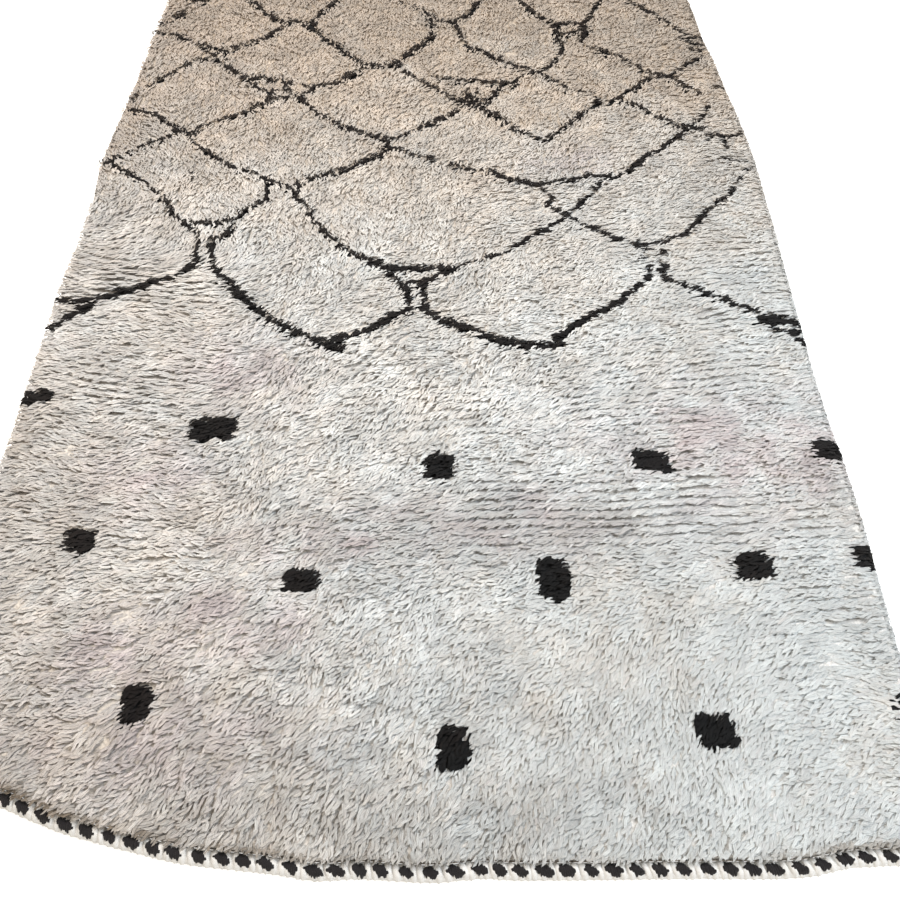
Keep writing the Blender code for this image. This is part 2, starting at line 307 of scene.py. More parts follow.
# %% [markdown]
# ## Where the knots are and how their wool lies
# Each knot is a pair of yarn ends that stands up from the foundation and then falls over. Feet and hands
# have brushed the pile. In the near half it lies towards the left at both sides and askew between them, and in
# the far half it turns towards the bound end. A chart holds the direction in a few places, in degrees from the
# rug's right. Noise then turns whole patches and each tuft a little, because an even pile looks like plastic.
# Two more charts hold where the pile is combed along its rows, and where it is denser and calmer.

# %% Chart of the lay: distance along in cm, then the direction at each place across
LAY_ACROSS = (-75, -48, -30, -5, 20, 45, 75)
LAY = (
    (10, 200, 218, 238, 246, 236, 244, 204),
    (25, 212, 226, 238, 238, 232, 246, 190),
    (38, 210, 208, 230, 240, 216, 238, 192),
    (52, 205, 206, 222, 210, 204, 202, 194),
    (65, 195, 188, 230, 210, 206, 202, 194),
    (80, 188, 188, 238, 232, 218, 204, 198),
    (98, 195, 190, 242, 236, 226, 212, 202),
    (115, 190, 192, 230, 206, 220, 214, 204),
    (128, 190, 190, 254, 230, 235, 208, 204),
    (142, 200, 282, 270, 255, 225, 205, 205),
    (165, 283, 276, 265, 258, 232, 220, 202),
    (190, 292, 266, 262, 254, 254, 240, 210),
    (245, 265, 282, 268, 262, 252, 246, 240),
)


def lay_direction(places):
    """Direction, in radians, in which the pile lies at each place."""
    table = np.exp(1j * np.radians(np.array(LAY, float)[:, 1:]))
    row = np.interp(places[:, 1] * 100, [r[0] for r in LAY], range(len(LAY)))
    column = np.interp(places[:, 0] * 100, LAY_ACROSS, range(len(LAY_ACROSS)))
    r = np.minimum(row.astype(int), len(LAY) - 2)
    c = np.minimum(column.astype(int), len(LAY_ACROSS) - 2)
    below = table[r, c] + (table[r, c + 1] - table[r, c]) * (column - c)
    above = table[r + 1, c] + (table[r + 1, c + 1] - table[r + 1, c]) * (column - c)
    return np.angle(below + (above - below) * (row - r)) % math.tau


in_the_middle = np.array([[0.0, RUG_LENGTH / 2]])
print("lay in the middle of the rug, degrees:", np.degrees(lay_direction(in_the_middle)).round(1))


def heading(angle):
    """Step of one metre in each of these directions."""
    return np.stack([np.cos(angle), np.sin(angle)], -1)


# %% Patches combed along the rows: across, along, half width, half length in metres, strength
COMBED = (
    (0.38, 0.63, 0.58, 0.10, 1.0),
    (0.52, 0.92, 0.36, 0.18, 0.8),
    (0.16, 0.86, 0.30, 0.06, 0.6),
    (0.70, 1.22, 0.18, 0.16, 0.7),
    (0.52, 1.47, 0.14, 0.09, 0.7),
    (0.62, 0.40, 0.22, 0.12, 0.5),
    (-0.62, 1.30, 0.22, 0.14, 0.9),
    (-0.50, 0.94, 0.34, 0.08, 0.7),
    (-0.62, 0.68, 0.20, 0.18, 0.5),
)


def patch_strengths(places, table, firmness=1.5):
    """Strength of each patch of a table at each place, in one row for each patch.

    A patch is strongest at its middle. A greater firmness gives it a flatter middle and a clearer edge.
    """
    x, y, half_x, half_y, strength = np.array(table).T[..., None]
    off = ((places[:, 0] - x) / half_x) ** 2 + ((places[:, 1] - y) / half_y) ** 2
    return strength * np.exp(-off ** firmness)


def combing(places):
    """How strongly the pile is combed along its rows at each place, from 0 to 1."""
    most = patch_strengths(places, COMBED).max(0)
    return np.clip(most * (1.1 + 0.6 * wander(places, 0.09, 17.5)), 0, 1)


# %% Patches where the pile is denser and calmer: across, along, half width, half length in metres, strength
CALM = (
    (0.78, 0.16, 0.80, 0.54, 1.0),
    (0.74, 1.05, 0.42, 0.75, 0.55),
)


def calm_of(places):
    """How dense and calm the pile is at each place, from 0 to 1."""
    return patch_strengths(places, CALM).max(0)


# %% Distance from the rim
def from_rim(places):
    """Distance from the nearest side or far edge of the pile, in metres, and the direction outwards."""
    left = places[:, 0] - read_table(SIDES, places[:, 1], 1)
    right = read_table(SIDES, places[:, 1], 2) - places[:, 0]
    far = RUG_LENGTH + read_table(FAR_END, places[:, 0]) - places[:, 1]
    gaps = np.stack([left, right, far]) + PILE_SWELL
    return gaps.min(0), np.array([math.pi, 0.0, math.pi / 2])[gaps.argmin(0)]


def from_binding(places):
    """Distance from the inner edge of the binding, in metres."""
    return places[:, 1] - read_table(NEAR_END, places[:, 0]) - BINDING_WIDTH


# %% Rows of knots
ROW_PITCH = 0.0100         # between rows of knots, along the rug
KNOT_PITCH = 0.0037        # between knots of a row
chance = np.random.default_rng(23)

rows = round((RUG_LENGTH - BINDING_WIDTH) / ROW_PITCH)
columns = round(CLOTH_WIDTH / KNOT_PITCH)
row_of, column_of = [k.ravel() for k in np.meshgrid(np.arange(rows), np.arange(columns), indexing="ij")]
knot_count = len(row_of)
odd_row = row_of % 2
across = (column_of + 0.5 + 0.4 * odd_row + chance.uniform(-0.35, 0.35, knot_count)) / (columns + 0.5)
evenly = pile_place(across, (row_of + 0.5) / rows)
print("rows of knots:", rows, " knots:", knot_count)

# %% Direction, place and reach of each tuft
LOCK_REACH = 0.027         # how far a tuft's tip lies from its knot

combed = combing(evenly)
calm = calm_of(evenly)
astray = 0.36 * wander(evenly, 0.075, 2.5) + 0.24 * wander(evenly, 0.024, 4.5)
astray += chance.normal(0, 0.12, knot_count)
turn = lay_direction(evenly) + astray * (1 - 0.5 * calm) * (1 - 0.85 * combed)
paired = combed * np.clip(0.75 + 0.7 * wander(evenly, 0.13, 21.5), 0, 1.2)
stagger = chance.uniform(-0.38, 0.38, knot_count) * (1 - 0.85 * paired) + 0.35 * paired * (1 - 2 * odd_row)
undulation = 0.7 * wander(evenly, 0.26, 19.5) + 0.5 * wander(evenly, 0.09, 23.5)
knots = pile_place(across, (row_of + 0.5 + stagger + undulation) / (rows + 1.8))
reach = np.clip(chance.normal(1.0, 0.12, knot_count) + 0.12 * wander(knots, 0.05, 6.5), 0.6, 1.4)
reach *= (1 + 0.4 * combed) * (1 + 0.16 * calm)
print("share of the pile that is combed along its rows:", round(combed.mean(), 2))

# %% [markdown]
# ## Clumps
# Wool fibres cling, so neighbouring tufts draw together into pointed clumps of about two centimetres, with
# seams between them where the tufts lie lower and are painted darker, as painted shade. Clump centres are
# strewn over the rug. Each tuft goes to the nearest one, and its tip moves part of the way to the middle of
# that clump's tips.

# %% Draw the tufts together into clumps
CLUMP_SPACING = 0.021
CLUMP_AHEAD = 0.010        # from a knot to the part of its tuft that picks the clump


def clump_of(places, spacing):
    """Number of the nearest clump centre for each place, and the distance to it in metres."""
    low, high = places.min(0) - spacing, places.max(0) + spacing
    x, y = np.meshgrid(np.arange(low[0], high[0], spacing), np.arange(low[1], high[1], spacing))
    centres = np.stack([x.ravel(), y.ravel()], -1) + chance.uniform(-0.42, 0.42, (x.size, 2)) * spacing
    tree = kdtree.KDTree(len(centres))
    for k, (cx, cy) in enumerate(centres):
        tree.insert((cx, cy, 0), k)
    tree.balance()
    found = [tree.find((px, py, 0)) for px, py in places]
    return np.array([f[1] for f in found]), np.array([f[2] for f in found])


rim_gap, outwards = from_rim(knots)
clump, clump_gap = clump_of(knots + heading(turn) * CLUMP_AHEAD, CLUMP_SPACING)
tips = knots + heading(turn) * (reach * LOCK_REACH)[:, None]
members = np.bincount(clump, minlength=clump.max() + 1)
middle = np.stack([np.bincount(clump, tips[:, k], len(members)) for k in (0, 1)], -1)
middle /= np.maximum(members, 1)[:, None]
pull = chance.uniform(0.15, 0.70, len(members))[clump] * (1 - 0.9 * combed) * (1 - 0.6 * calm)
run = tips + (middle[clump] - tips) * pull[:, None] - knots
turn = np.arctan2(run[:, 1], run[:, 0])
reach = np.clip(np.hypot(*run.T) / LOCK_REACH, 0.45, 1.6)
seam = np.clip(clump_gap / CLUMP_SPACING, 0, 1)
# Each clump's own tone, and painted shade on the tufts at the seams between clumps.
clump_tone_and_seam_shade = chance.normal(0, 0.13, len(members))[clump] - 0.40 * (seam - 0.4)
clump_lift = chance.normal(0, 0.07, len(members))[clump] + 0.15 * (0.5 - seam)
clump_lift *= 1 - 0.6 * calm
print("clumps:", (members > 0).sum(), " tufts in each, about:", round(knot_count / (members > 0).sum()))

# %% [markdown]
# The pile's depth follows the same lumps as the solid below it. Where the pile lies sideways it parts into long
# furrows between pairs of rows. Next to the binding the tufts are short, so that the binding shows, and no
# tuft stands out past the rim.

# %% Depth and length of the tufts
DRAWN_HEIGHT = 0.0238      # of a tuft as it is drawn, over the floor
LUMP_HEIGHT = 0.0052

# breadth and length of a lump in metres, seed, share
LUMPS = (
    (0.085, 0.120, 3.1, 1.5),
    (0.31, 0.24, 8.7, 0.7),
)


def pile_height(places):
    """Depth of the pile over each place, in metres, with the lumps of the solid."""
    lumps = [sum(noise.noise(Vector((x / wide, y / long, seed))) * share for wide, long, seed, share in LUMPS)
             for x, y in places]
    return KNOT_DEPTH + LUMP_HEIGHT * np.array(lumps)


def room_ahead(gap, towards):
    """Share of a tuft's length that fits before it passes a border at this distance."""
    return np.where(towards > 0.05, np.maximum(gap, 0.001) / np.maximum(towards, 0.05) / LOCK_REACH, 9.0)


end_gap = from_binding(knots)
overhang = 0.006 + chance.uniform(-0.003, 0.003, knot_count)
reach = np.minimum(reach, room_ahead(end_gap + overhang, -np.sin(turn)))
reach = np.minimum(reach, room_ahead(rim_gap + 0.003, np.cos(turn - outwards)))
reach = np.maximum(reach, 0.22)
lift = chance.uniform(0.95, 1.05, knot_count) + clump_lift - 0.10 * paired * odd_row
rise = pile_height(knots) / DRAWN_HEIGHT * lift - 0.03 * calm
rise *= 0.74 + 0.26 * np.clip((np.minimum(rim_gap, end_gap) + 0.006) / 0.012, 0, 1)
breadth = chance.uniform(0.8, 1.2, knot_count) * (1 + 0.10 * calm)
# Painted shadow, partly soil: wool next to the binding, mostly at the left, turns brown where the pile's edge
# hangs over the binding.
soil_and_shadow_across = np.interp(knots[:, 0], (-0.60, -0.20, 0.0, 0.45, 0.62), (1, 0.8, 0.15, 0.1, 0.6))
soil_and_shadow = np.clip(1.3 - end_gap / 0.016, 0, 1) * soil_and_shadow_across
depths = pile_height(knots) * 1000
print("pile depth, mm:", np.round(depths.min(), 1), "to", np.round(depths.max(), 1))

# %% [markdown]
# Along both sides and the far end the tufts have nothing to lie on. They fall outwards over the rim, down to
# the floor. These rim tufts are three staggered rows, and each row has drooping shapes of its own.

# %% Knots along the rim
RIM_PITCH = 0.0042
RIM_INSETS = (0.013, 0.008, 0.003)
FAR_WIDTH = 1.55           # of the pile at the far end
UPRIGHT_SHAPES = 8         # shapes drawn for the rows of knots, before those for the rim

side_count = round(RUG_LENGTH / RIM_PITCH)
far_count = round(FAR_WIDTH / RIM_PITCH)
along_side = np.linspace(0.002, 0.999, side_count)
edge = np.concatenate([
    np.stack([np.zeros(side_count), along_side], -1),
    np.stack([np.ones(side_count), along_side], -1),
    np.stack([np.linspace(0.002, 0.998, far_count), np.ones(far_count)], -1)])
outward = np.repeat([math.pi, 0.0, math.pi / 2], [side_count, side_count, far_count])
rim_rows = []
for k, inset in enumerate(RIM_INSETS):
    places = pile_place(edge[:, 0], edge[:, 1]) + chance.normal(0, 0.0010, (len(edge), 2))
    places -= heading(outward) * inset
    droop = outward + chance.normal(0, 0.12, len(edge)) + 0.15 * wander(places, 0.05, 7.5)
    rim_rows.append((places, droop, UPRIGHT_SHAPES + 2 * k + chance.integers(0, 2, len(edge))))
rim_knots, rim_turn, rim_shape = [np.concatenate(values) for values in zip(*rim_rows)]
rim_count = len(rim_knots)
print("knots on the rim:", rim_count)

# %% [markdown]
# ## The shape of a tuft
# A tuft is a lock of hand-spun wool, about 4 mm broad and 27 mm long. It leaves its knot upright, bends over
# in a weak wave and ends bluntly. Tens of thousands of them lie side by side, so each has few faces: a ribbon,
# and its material rounds it. A few shapes are drawn as a path and turned, stretched and mixed on the knots:
# more than that would not show. The lowest part of each is in the felted bed.

# %% Paths of the lock shapes, in mm: four points and a tip, each (along, sideways, up)
LOCK_PATHS = (
    ((0, 0, 13), (7, 1.6, 20.5), (16, 0.4, 23.0), (24, -1.6, 23.0), (28, -0.8, 22.4)),
    ((0, 0, 13), (7, -2.4, 20.5), (15, -0.6, 23.4), (22, 2.6, 23.4), (26, 3.2, 22.6)),
    ((0, 0, 13), (7, 2.4, 20.5), (15, 0.8, 22.8), (22, -2.2, 22.8), (27, -2.6, 21.8)),
    ((0, 0, 13), (7, 3.0, 21.0), (14, 4.4, 23.6), (21, 3.0, 24.0), (25, 0.8, 23.2)),
    ((0, 0, 13), (7, -3.0, 21.0), (14, -4.4, 23.2), (21, -2.8, 23.4), (25, -0.6, 22.8)),
    ((0, 0, 13), (9, -0.6, 19.6), (18, -0.4, 21.8), (27, 1.4, 21.4), (32, 0.2, 20.6)),
    ((0, 0, 13), (5, 1.4, 20.4), (11, 2.2, 24.4), (17, -0.6, 24.8), (20, -2.6, 23.8)),
    ((0, 0, 13), (5, -1.8, 20.4), (11, 0.2, 23.8), (18, 2.4, 24.2), (23, -0.4, 23.4)),
    # over the rim: two shapes for each of the three rows
    ((0, 0, 13), (6, 0.6, 19.5), (11.0, -0.4, 17.0), (13.5, 0.2, 10.5), (14.5, 0.6, 5.0)),
    ((0, 0, 13), (6, -0.6, 19.0), (10.5, 0.6, 16.0), (13.0, 0.8, 9.5), (14.0, 0.2, 4.0)),
    ((0, 0, 9), (4, 0.5, 14.8), (7.5, -0.5, 12.5), (9.5, 0.2, 7.0), (10.5, 0.6, 3.0)),
    ((0, 0, 9), (4, -0.5, 14.2), (7.0, 0.5, 11.5), (9.0, 0.8, 6.5), (10.0, 0.4, 2.6)),
    ((0, 0, 5), (2.5, 0.4, 9.2), (4.8, -0.4, 7.2), (6.0, 0.2, 4.0), (7.0, 0.5, 1.4)),
    ((0, 0, 5), (2.5, -0.4, 8.8), (4.6, 0.4, 6.8), (6.0, 0.6, 3.8), (6.5, 0.2, 1.2)),
)
LOCK_BREADTHS = (2.8, 3.9, 4.1, 3.4)      # at the four points of the path, in mm
LOCK_SHARES = (0.0, 0.30, 0.60, 0.88)     # shares of the way along, at the four points


def set_numbers(mesh, name, numbers, kind="FLOAT"):
    """Store a number for each point of a mesh, as an attribute."""
    mesh.attributes.new(name, kind, "POINT").data.foreach_set("value", numbers)


def lock_mesh(name, path):
    """Ribbon along a path, with the way along it kept as an attribute and a UV map."""
    points = [Vector(p) / 1000 for p in path]
    last = len(points) - 1
    verts, faces, corner_uvs = [], [], []
    for k, point in enumerate(points[:last]):
        ahead = (points[k + 1] - points[max(k - 1, 0)]).normalized()
        side = Vector((0, 0, 1)).cross(ahead).normalized() * LOCK_BREADTHS[k] / 2000
        verts += [point - side, point + side]
    verts.append(points[last])
    for k in range(last - 1):
        faces.append((2 * k, 2 * k + 1, 2 * k + 3, 2 * k + 2))
        low, high = LOCK_SHARES[k], LOCK_SHARES[k + 1]
        corner_uvs += [(0.0, low), (1.0, low), (1.0, high), (0.0, high)]
    faces.append((2 * last - 2, 2 * last - 1, 2 * last))
    corner_uvs += [(0.0, LOCK_SHARES[-1]), (1.0, LOCK_SHARES[-1]), (0.5, 1.0)]
    mesh = bpy.data.meshes.new(name)
    mesh.from_pydata(verts, [], faces, shade_flat=False)
    shares = [s for s in LOCK_SHARES for _ in (0, 1)] + [1.0]
    set_numbers(mesh, "along", shares)
    mesh.uv_layers.new(name="lock").data.foreach_set("uv", np.array(corner_uvs).ravel())
    return mesh


lock_shapes = bpy.data.collections.new("lock shapes")
for k, path in enumerate(LOCK_PATHS):
    lock_shapes.objects.link(bpy.data.objects.new(f"lock_{k:02d}", lock_mesh(f"lock_{k:02d}", path)))

# %% [markdown]
# ## Wool
# Undyed sheep's wool is matt: fibres of a few hundredths of a millimetre scatter light every way, with a faint
# sheen at a low angle. Hand spinning leaves thick and thin places and mixes fleeces, so each tuft has its own
# tone, from grey white to cream, and some are a little rosy. The roots are painted darker, as painted shade
# deep in the pile, and the wool beside the binding is painted brown, partly for soil and partly as painted
# shadow where the pile's edge hangs over the binding. Each knot hands its tuft these shares as attributes.
#
# The material draws each ribbon as two strands twisted together. It paints shade in the groove between them and
# a highlight along the strands. Streaks along the lock stand for the fibres: real ones are 0.04 mm apart, and
# these are drawn some seven times as coarse, so that they show. Some light passes through ivory wool, which
# softens its shadows. Where the attribute `blend` is high the strands run together and more light passes, so
# the pile there looks softer.

# %% Fibres and strands of a lock
LOCK_MM = (4.2, 28.0)      # breadth and length over which a lock's map stretches
FIBRE_MM = 0.30
THICK_PLACE_MM = 17.5      # from one thick place of the hand-spun yarn to the next


def fibres_and_strands(tree, own):
    """Noise for the fibres of a lock, and the height of the two strands across it."""
    lock_map = add(tree, "ShaderNodeUVMap", uv_map="lock")
    finely = (LOCK_MM[0] / FIBRE_MM, LOCK_MM[1] / THICK_PLACE_MM, 1.0)
    spread = add(tree, "ShaderNodeVectorMath", {0: lock_map, 1: finely}, operation="MULTIPLY")
    # each tuft's own tone moves it to another part of the noise
    apart = add(tree, "ShaderNodeMath", {0: own["tone"], 1: 91.0}, operation="MULTIPLY")
    moved = add(tree, "ShaderNodeCombineXYZ", {"Z": apart})
    at = add(tree, "ShaderNodeVectorMath", {0: spread, 1: moved}, operation="ADD")
    fibres = add(tree, "ShaderNodeTexNoise", {"Vector": at, "Scale": 1.0, "Detail": 2.0, "Roughness": 0.6})
    # the strands are one wave across the lock, and their groove slips to and fro with the noise
    across_lock = add(tree, "ShaderNodeSeparateXYZ", {0: lock_map})
    twist = add(tree, "ShaderNodeMapRange", {
        "Value": fibres, "From Min": 0.3, "From Max": 0.7, "To Min": -1.1, "To Max": 1.1})
    turns = add(tree, "ShaderNodeMath", {0: across_lock, 1: math.tau, 2: twist}, operation="MULTIPLY_ADD")
    wave = add(tree, "ShaderNodeMath", {0: turns}, operation="SINE")
    strand = add(tree, "ShaderNodeMath", {0: wave}, operation="ABSOLUTE")
    merged = add(tree, "ShaderNodeMath", {0: own["blend"], 1: 0.6}, operation="MULTIPLY")
    return fibres, add(tree, "ShaderNodeMix", {"Factor": merged, "A": strand, "B": 0.58})


print("fibres drawn across a lock:", round(LOCK_MM[0] / FIBRE_MM))


# %% Colour of a lock
def lock_colour(tree, own, fibres, strand, colours, root_shade, groove_shade, streak):
    """Colour of a lock: the first colour, blended with the others by the tuft's shares, and shaded.

    root_shade paints shade at the roots, and the groove value paints shade in the line between the strands,
    which also get a painted highlight. streak marks the fibres.
    """
    colour = linear(colours[0])
    for share, other in zip(("warmth", "rosiness", "soil_and_shadow"), colours[1:]):
        colour = add(tree, "ShaderNodeMix", {
            "Factor": own[share], "A": colour, "B": linear(other)}, data_type="RGBA")
    # Painted shade: the roots are darker, for the shade deep in the pile.
    shade = add(tree, "ShaderNodeMapRange", {
        "Value": own["along"], "From Min": 0.15, "From Max": 0.8, "To Min": root_shade, "To Max": 1.0})
    by_fibre = add(tree, "ShaderNodeMapRange", {
        "Value": fibres, "From Min": 0.3, "From Max": 0.7, "To Min": 1 - streak, "To Max": 1 + streak * 0.5})
    by_tone = add(tree, "ShaderNodeMapRange", {
        "Value": own["tone"], "To Min": 0.80, "To Max": 1.14}, clamp=False)
    # Painted shade in the groove between the strands, and a painted highlight on them.
    strand_light_and_shade = add(tree, "ShaderNodeMapRange", {"Value": strand, "To Min": groove_shade, "To Max": 1.20})
    for factor in (by_fibre, by_tone, strand_light_and_shade):
        shade = add(tree, "ShaderNodeMath", {0: shade, 1: factor}, operation="MULTIPLY")
    return add(tree, "ShaderNodeVectorMath", {0: colour, "Scale": shade}, operation="SCALE")


# %% Wool materials
def new_material(name):
    """New material, and its empty node tree."""
    material = bpy.data.materials.new(name)
    material.use_nodes = True
    material.node_tree.nodes.clear()
    return material, material.node_tree


def wool_material(name, colours, root_shade, groove_shade, streak, gloss, through):
    """Matt wool of a tuft. through is the share of light that passes through it."""
    material, tree = new_material(name)
    own = {key: add(tree, "ShaderNodeAttribute", out="Fac", attribute_name=key)
           for key in ("tone", "warmth", "rosiness", "soil_and_shadow", "blend", "along")}
    fibres, strand = fibres_and_strands(tree, own)
    colour = lock_colour(tree, own, fibres, strand, colours, root_shade, groove_shade, streak)
    round_lock = add(tree, "ShaderNodeBump", {"Strength": 0.7, "Distance": 0.0016, "Height": strand})
    bump = add(tree, "ShaderNodeBump", {
        "Strength": 0.25, "Distance": 0.0008, "Height": fibres, "Normal": round_lock})
    front = add(tree, "ShaderNodeBsdfPrincipled", {
        "Base Color": colour, "Roughness": 0.92, "IOR": 1.54, "Specular IOR Level": gloss,
        "Sheen Weight": gloss / 2, "Sheen Roughness": 0.5, "Normal": bump})
    behind = add(tree, "ShaderNodeBsdfTranslucent", {"Color": colour})
    passed = add(tree, "ShaderNodeMapRange", {
        "Value": own["blend"], "From Max": 0.85, "To Min": through, "To Max": 3 * through})
    shader = add(tree, "ShaderNodeMixShader", {0: passed, 1: front, 2: behind})
    add(tree, "ShaderNodeOutputMaterial", {"Surface": shader})
    return material


# colours: pale, warm, rosy, and brown for soil and painted shadow beside the binding
ivory_wool = wool_material("hand-spun ivory wool", ("#DCE0E0", "#D4C8BA", "#CEC3C3", "#857868"),
                           root_shade=0.88, groove_shade=0.76, streak=0.14, gloss=0.24, through=0.14)
black_wool = wool_material("hand-spun black wool", ("#141516", "#261F1C", "#1A1718", "#161515"),
                           root_shade=0.76, groove_shade=0.84, streak=0.20, gloss=0.08, through=0.0)
print("nodes in a wool material:", len(ivory_wool.node_tree.nodes))

# %% [markdown]
# ## Tufts on knots, with Geometry Nodes
# Instancing puts one of the lock shapes on each knot, turned to the lay of the pile and stretched to the
# tuft's own length and depth. The tree ends with real mesh, because an export drops instances. Each tuft also
# gets a cell of its own on the map named OFBake, so a texture on that map has a patch for each tuft.

# %% The tuft tree
def new_tree(name, inputs, output):
    """New Geometry Nodes tree with named inputs and one output, and the sockets that hand in the inputs."""
    tree = bpy.data.node_groups.new(name, "GeometryNodeTree")
    for label, kind in inputs.items():
        tree.interface.new_socket(name=label, in_out="INPUT", socket_type="NodeSocket" + kind)
    tree.interface.new_socket(name=output, in_out="OUTPUT", socket_type="NodeSocketGeometry")
    return tree, tree.nodes.new("NodeGroupInput").outputs


tuft_tree, given = new_tree("tufts on knots", {
    "Knots": "Geometry", "Lock Shapes": "Collection", "Wool": "Material",
    "Length": "Float", "Breadth": "Float", "Map Cell": "Float"}, "Tufts")
own = {key: add(tuft_tree, "GeometryNodeInputNamedAttribute", {"Name": key}, data_type=kind)
       for kind, keys in (("FLOAT", ("turn", "reach", "breadth", "rise", "cell_u", "cell_v")),
                          ("INT", ("shape",)), ("FLOAT_VECTOR", ("lock",)))
       for key in keys}
shapes = add(tuft_tree, "GeometryNodeCollectionInfo", {
    "Collection": given["Lock Shapes"], "Separate Children": True, "Reset Children": True})
turned = add(tuft_tree, "ShaderNodeCombineXYZ", {"Z": own["turn"]})
long = add(tuft_tree, "ShaderNodeMath", {0: own["reach"], 1: given["Length"]}, operation="MULTIPLY")
broad = add(tuft_tree, "ShaderNodeMath", {0: own["breadth"], 1: given["Breadth"]}, operation="MULTIPLY")
sized = add(tuft_tree, "ShaderNodeCombineXYZ", {"X": long, "Y": broad, "Z": own["rise"]})
placed = add(tuft_tree, "GeometryNodeInstanceOnPoints", {
    "Points": given["Knots"], "Instance": shapes, "Pick Instance": True,
    "Instance Index": own["shape"], "Rotation": turned, "Scale": sized})
real = add(tuft_tree, "GeometryNodeRealizeInstances", {"Geometry": placed})
cell_corner = add(tuft_tree, "ShaderNodeCombineXYZ", {"X": own["cell_u"], "Y": own["cell_v"]})
in_cell = add(tuft_tree, "ShaderNodeVectorMath", {
    0: own["lock"], "Scale": given["Map Cell"]}, operation="SCALE")
on_map = add(tuft_tree, "ShaderNodeVectorMath", {0: in_cell, 1: cell_corner}, operation="ADD")
mapped = add(tuft_tree, "GeometryNodeStoreNamedAttribute", {
    "Geometry": real, "Name": "OFBake", "Value": on_map}, data_type="FLOAT2", domain="CORNER")
woolly = add(tuft_tree, "GeometryNodeSetMaterial", {"Geometry": mapped, "Material": given["Wool"]})
add(tuft_tree, "NodeGroupOutput", {"Tufts": woolly})
print("nodes in the tuft tree:", len(tuft_tree.nodes))

# %% Grow one piece of pile
def add_object(name, data):
    """New object in the scene, with a mesh, a light or a camera as its data."""
    thing = bpy.data.objects.new(name, data)
    bpy.context.scene.collection.objects.link(thing)
    return thing


def point_mesh(name, places, heights, values):
    """Mesh of loose points over places of the rug, with values for each point as its attributes."""
    mesh = bpy.data.meshes.new(name)
    mesh.vertices.add(len(places))
    points = np.concatenate([places + SHIFT, np.reshape(heights, (-1, 1))], 1)
    mesh.vertices.foreach_set("co", points.ravel())
    for key, numbers in values.items():
        set_numbers(mesh, key, numbers, "INT" if key == "shape" else "FLOAT")
    return mesh


def run_tree(name, start_mesh, tree, values):
    """Run a Geometry Nodes tree on a mesh, with its named inputs set, and keep the result as a plain mesh."""
    source = add_object(name + "_source", start_mesh)
    modifier = source.modifiers.new(tree.name, "NODES")
    modifier.node_group = tree
    for item in tree.interface.items_tree:
        if item.in_out == "INPUT" and item.name in values:
            modifier[item.identifier] = values[item.name]
    mesh = bpy.data.meshes.new_from_object(source.evaluated_get(bpy.context.evaluated_depsgraph_get()))
    mesh.name = name
    bpy.data.objects.remove(source, do_unlink=True)
    return add_object(name, mesh)


def grow_pile(name, material, places, values):
    """Piece of pile with a tuft on each place. values holds the attributes of the tufts."""
    cells = math.ceil(math.sqrt(len(places)))
    order = np.arange(len(places))
    values = dict(values, cell_u=(order % cells + 0.1) / cells, cell_v=(order // cells + 0.1) / cells)
    mesh = point_mesh(name + "_knots", places, np.zeros(len(places)), values)
    return run_tree(name, mesh, tuft_tree, {
        "Lock Shapes": lock_shapes, "Wool": material, "Length": 1.0, "Breadth": 1.0, "Map Cell": 0.8 / cells})


# %% [markdown]
# The fleece was not all of one colour. A few skeins have a mauve cast. Towards the far end and along the left
# side the wool is drawn creamier, partly cream wool and partly painted warm light, and in the calm near right
# it is painted cooler and lighter, for the cool light there. Other patches are drawn darker or lighter. Short
# tables hold where these lie, and smooth noise breaks them up.

# %% Cream and rosy wool: across, along, half width, half length in metres, strength
ROSY_SKEINS = (
    (-0.36, 1.00, 0.12, 0.10, 0.50),
    (-0.50, 0.72, 0.12, 0.08, 0.45),
    (-0.14, 0.58, 0.20, 0.04, 0.55),
    (-0.30, 0.42, 0.12, 0.07, 0.55),
    (-0.48, 0.36, 0.12, 0.07, 0.60),
    (-0.40, 0.22, 0.20, 0.10, 0.40),
    (0.23, 0.64, 0.06, 0.06, 0.40),
    (0.62, 0.78, 0.28, 0.15, 0.50),
    (0.10, 0.61, 0.30, 0.07, 0.35),
    (0.37, 1.70, 0.12, 0.08, 0.35),
)


def warmth_of(places):
    """Share of cream at each place: cream wool, and painted warm and cool light."""
    # Painted warm light, partly cream wool: creamier towards the far end and along the left.
    far = np.interp(places[:, 1], (0.9, 1.5, 2.1, 2.7), (0.0, 0.25, 0.75, 0.9))
    left = np.interp(places[:, 0], (-0.8, -0.35, 0.0), (0.46, 0.20, 0.0))
    left = left * np.interp(places[:, 1], (0.0, 1.5), (1.0, 0.6))
    broken = 0.12 * wander(places, 0.19, 12.5) + 0.14 * wander(places, 0.045, 16.5)
    # Painted cool light: less cream in the calm near right.
    return 0.20 - 0.20 * calm_of(places) + np.maximum(far, left) + broken


def rosiness_of(places):
    """Share of mauve wool at each place."""
    most = patch_strengths(places, ROSY_SKEINS, 1).max(0) * (1.0 + 0.9 * wander(places, 0.05, 13.5))
    return most + 0.12 * np.interp(places[:, 0], (-0.8, 0.0), (1.0, 0.0))


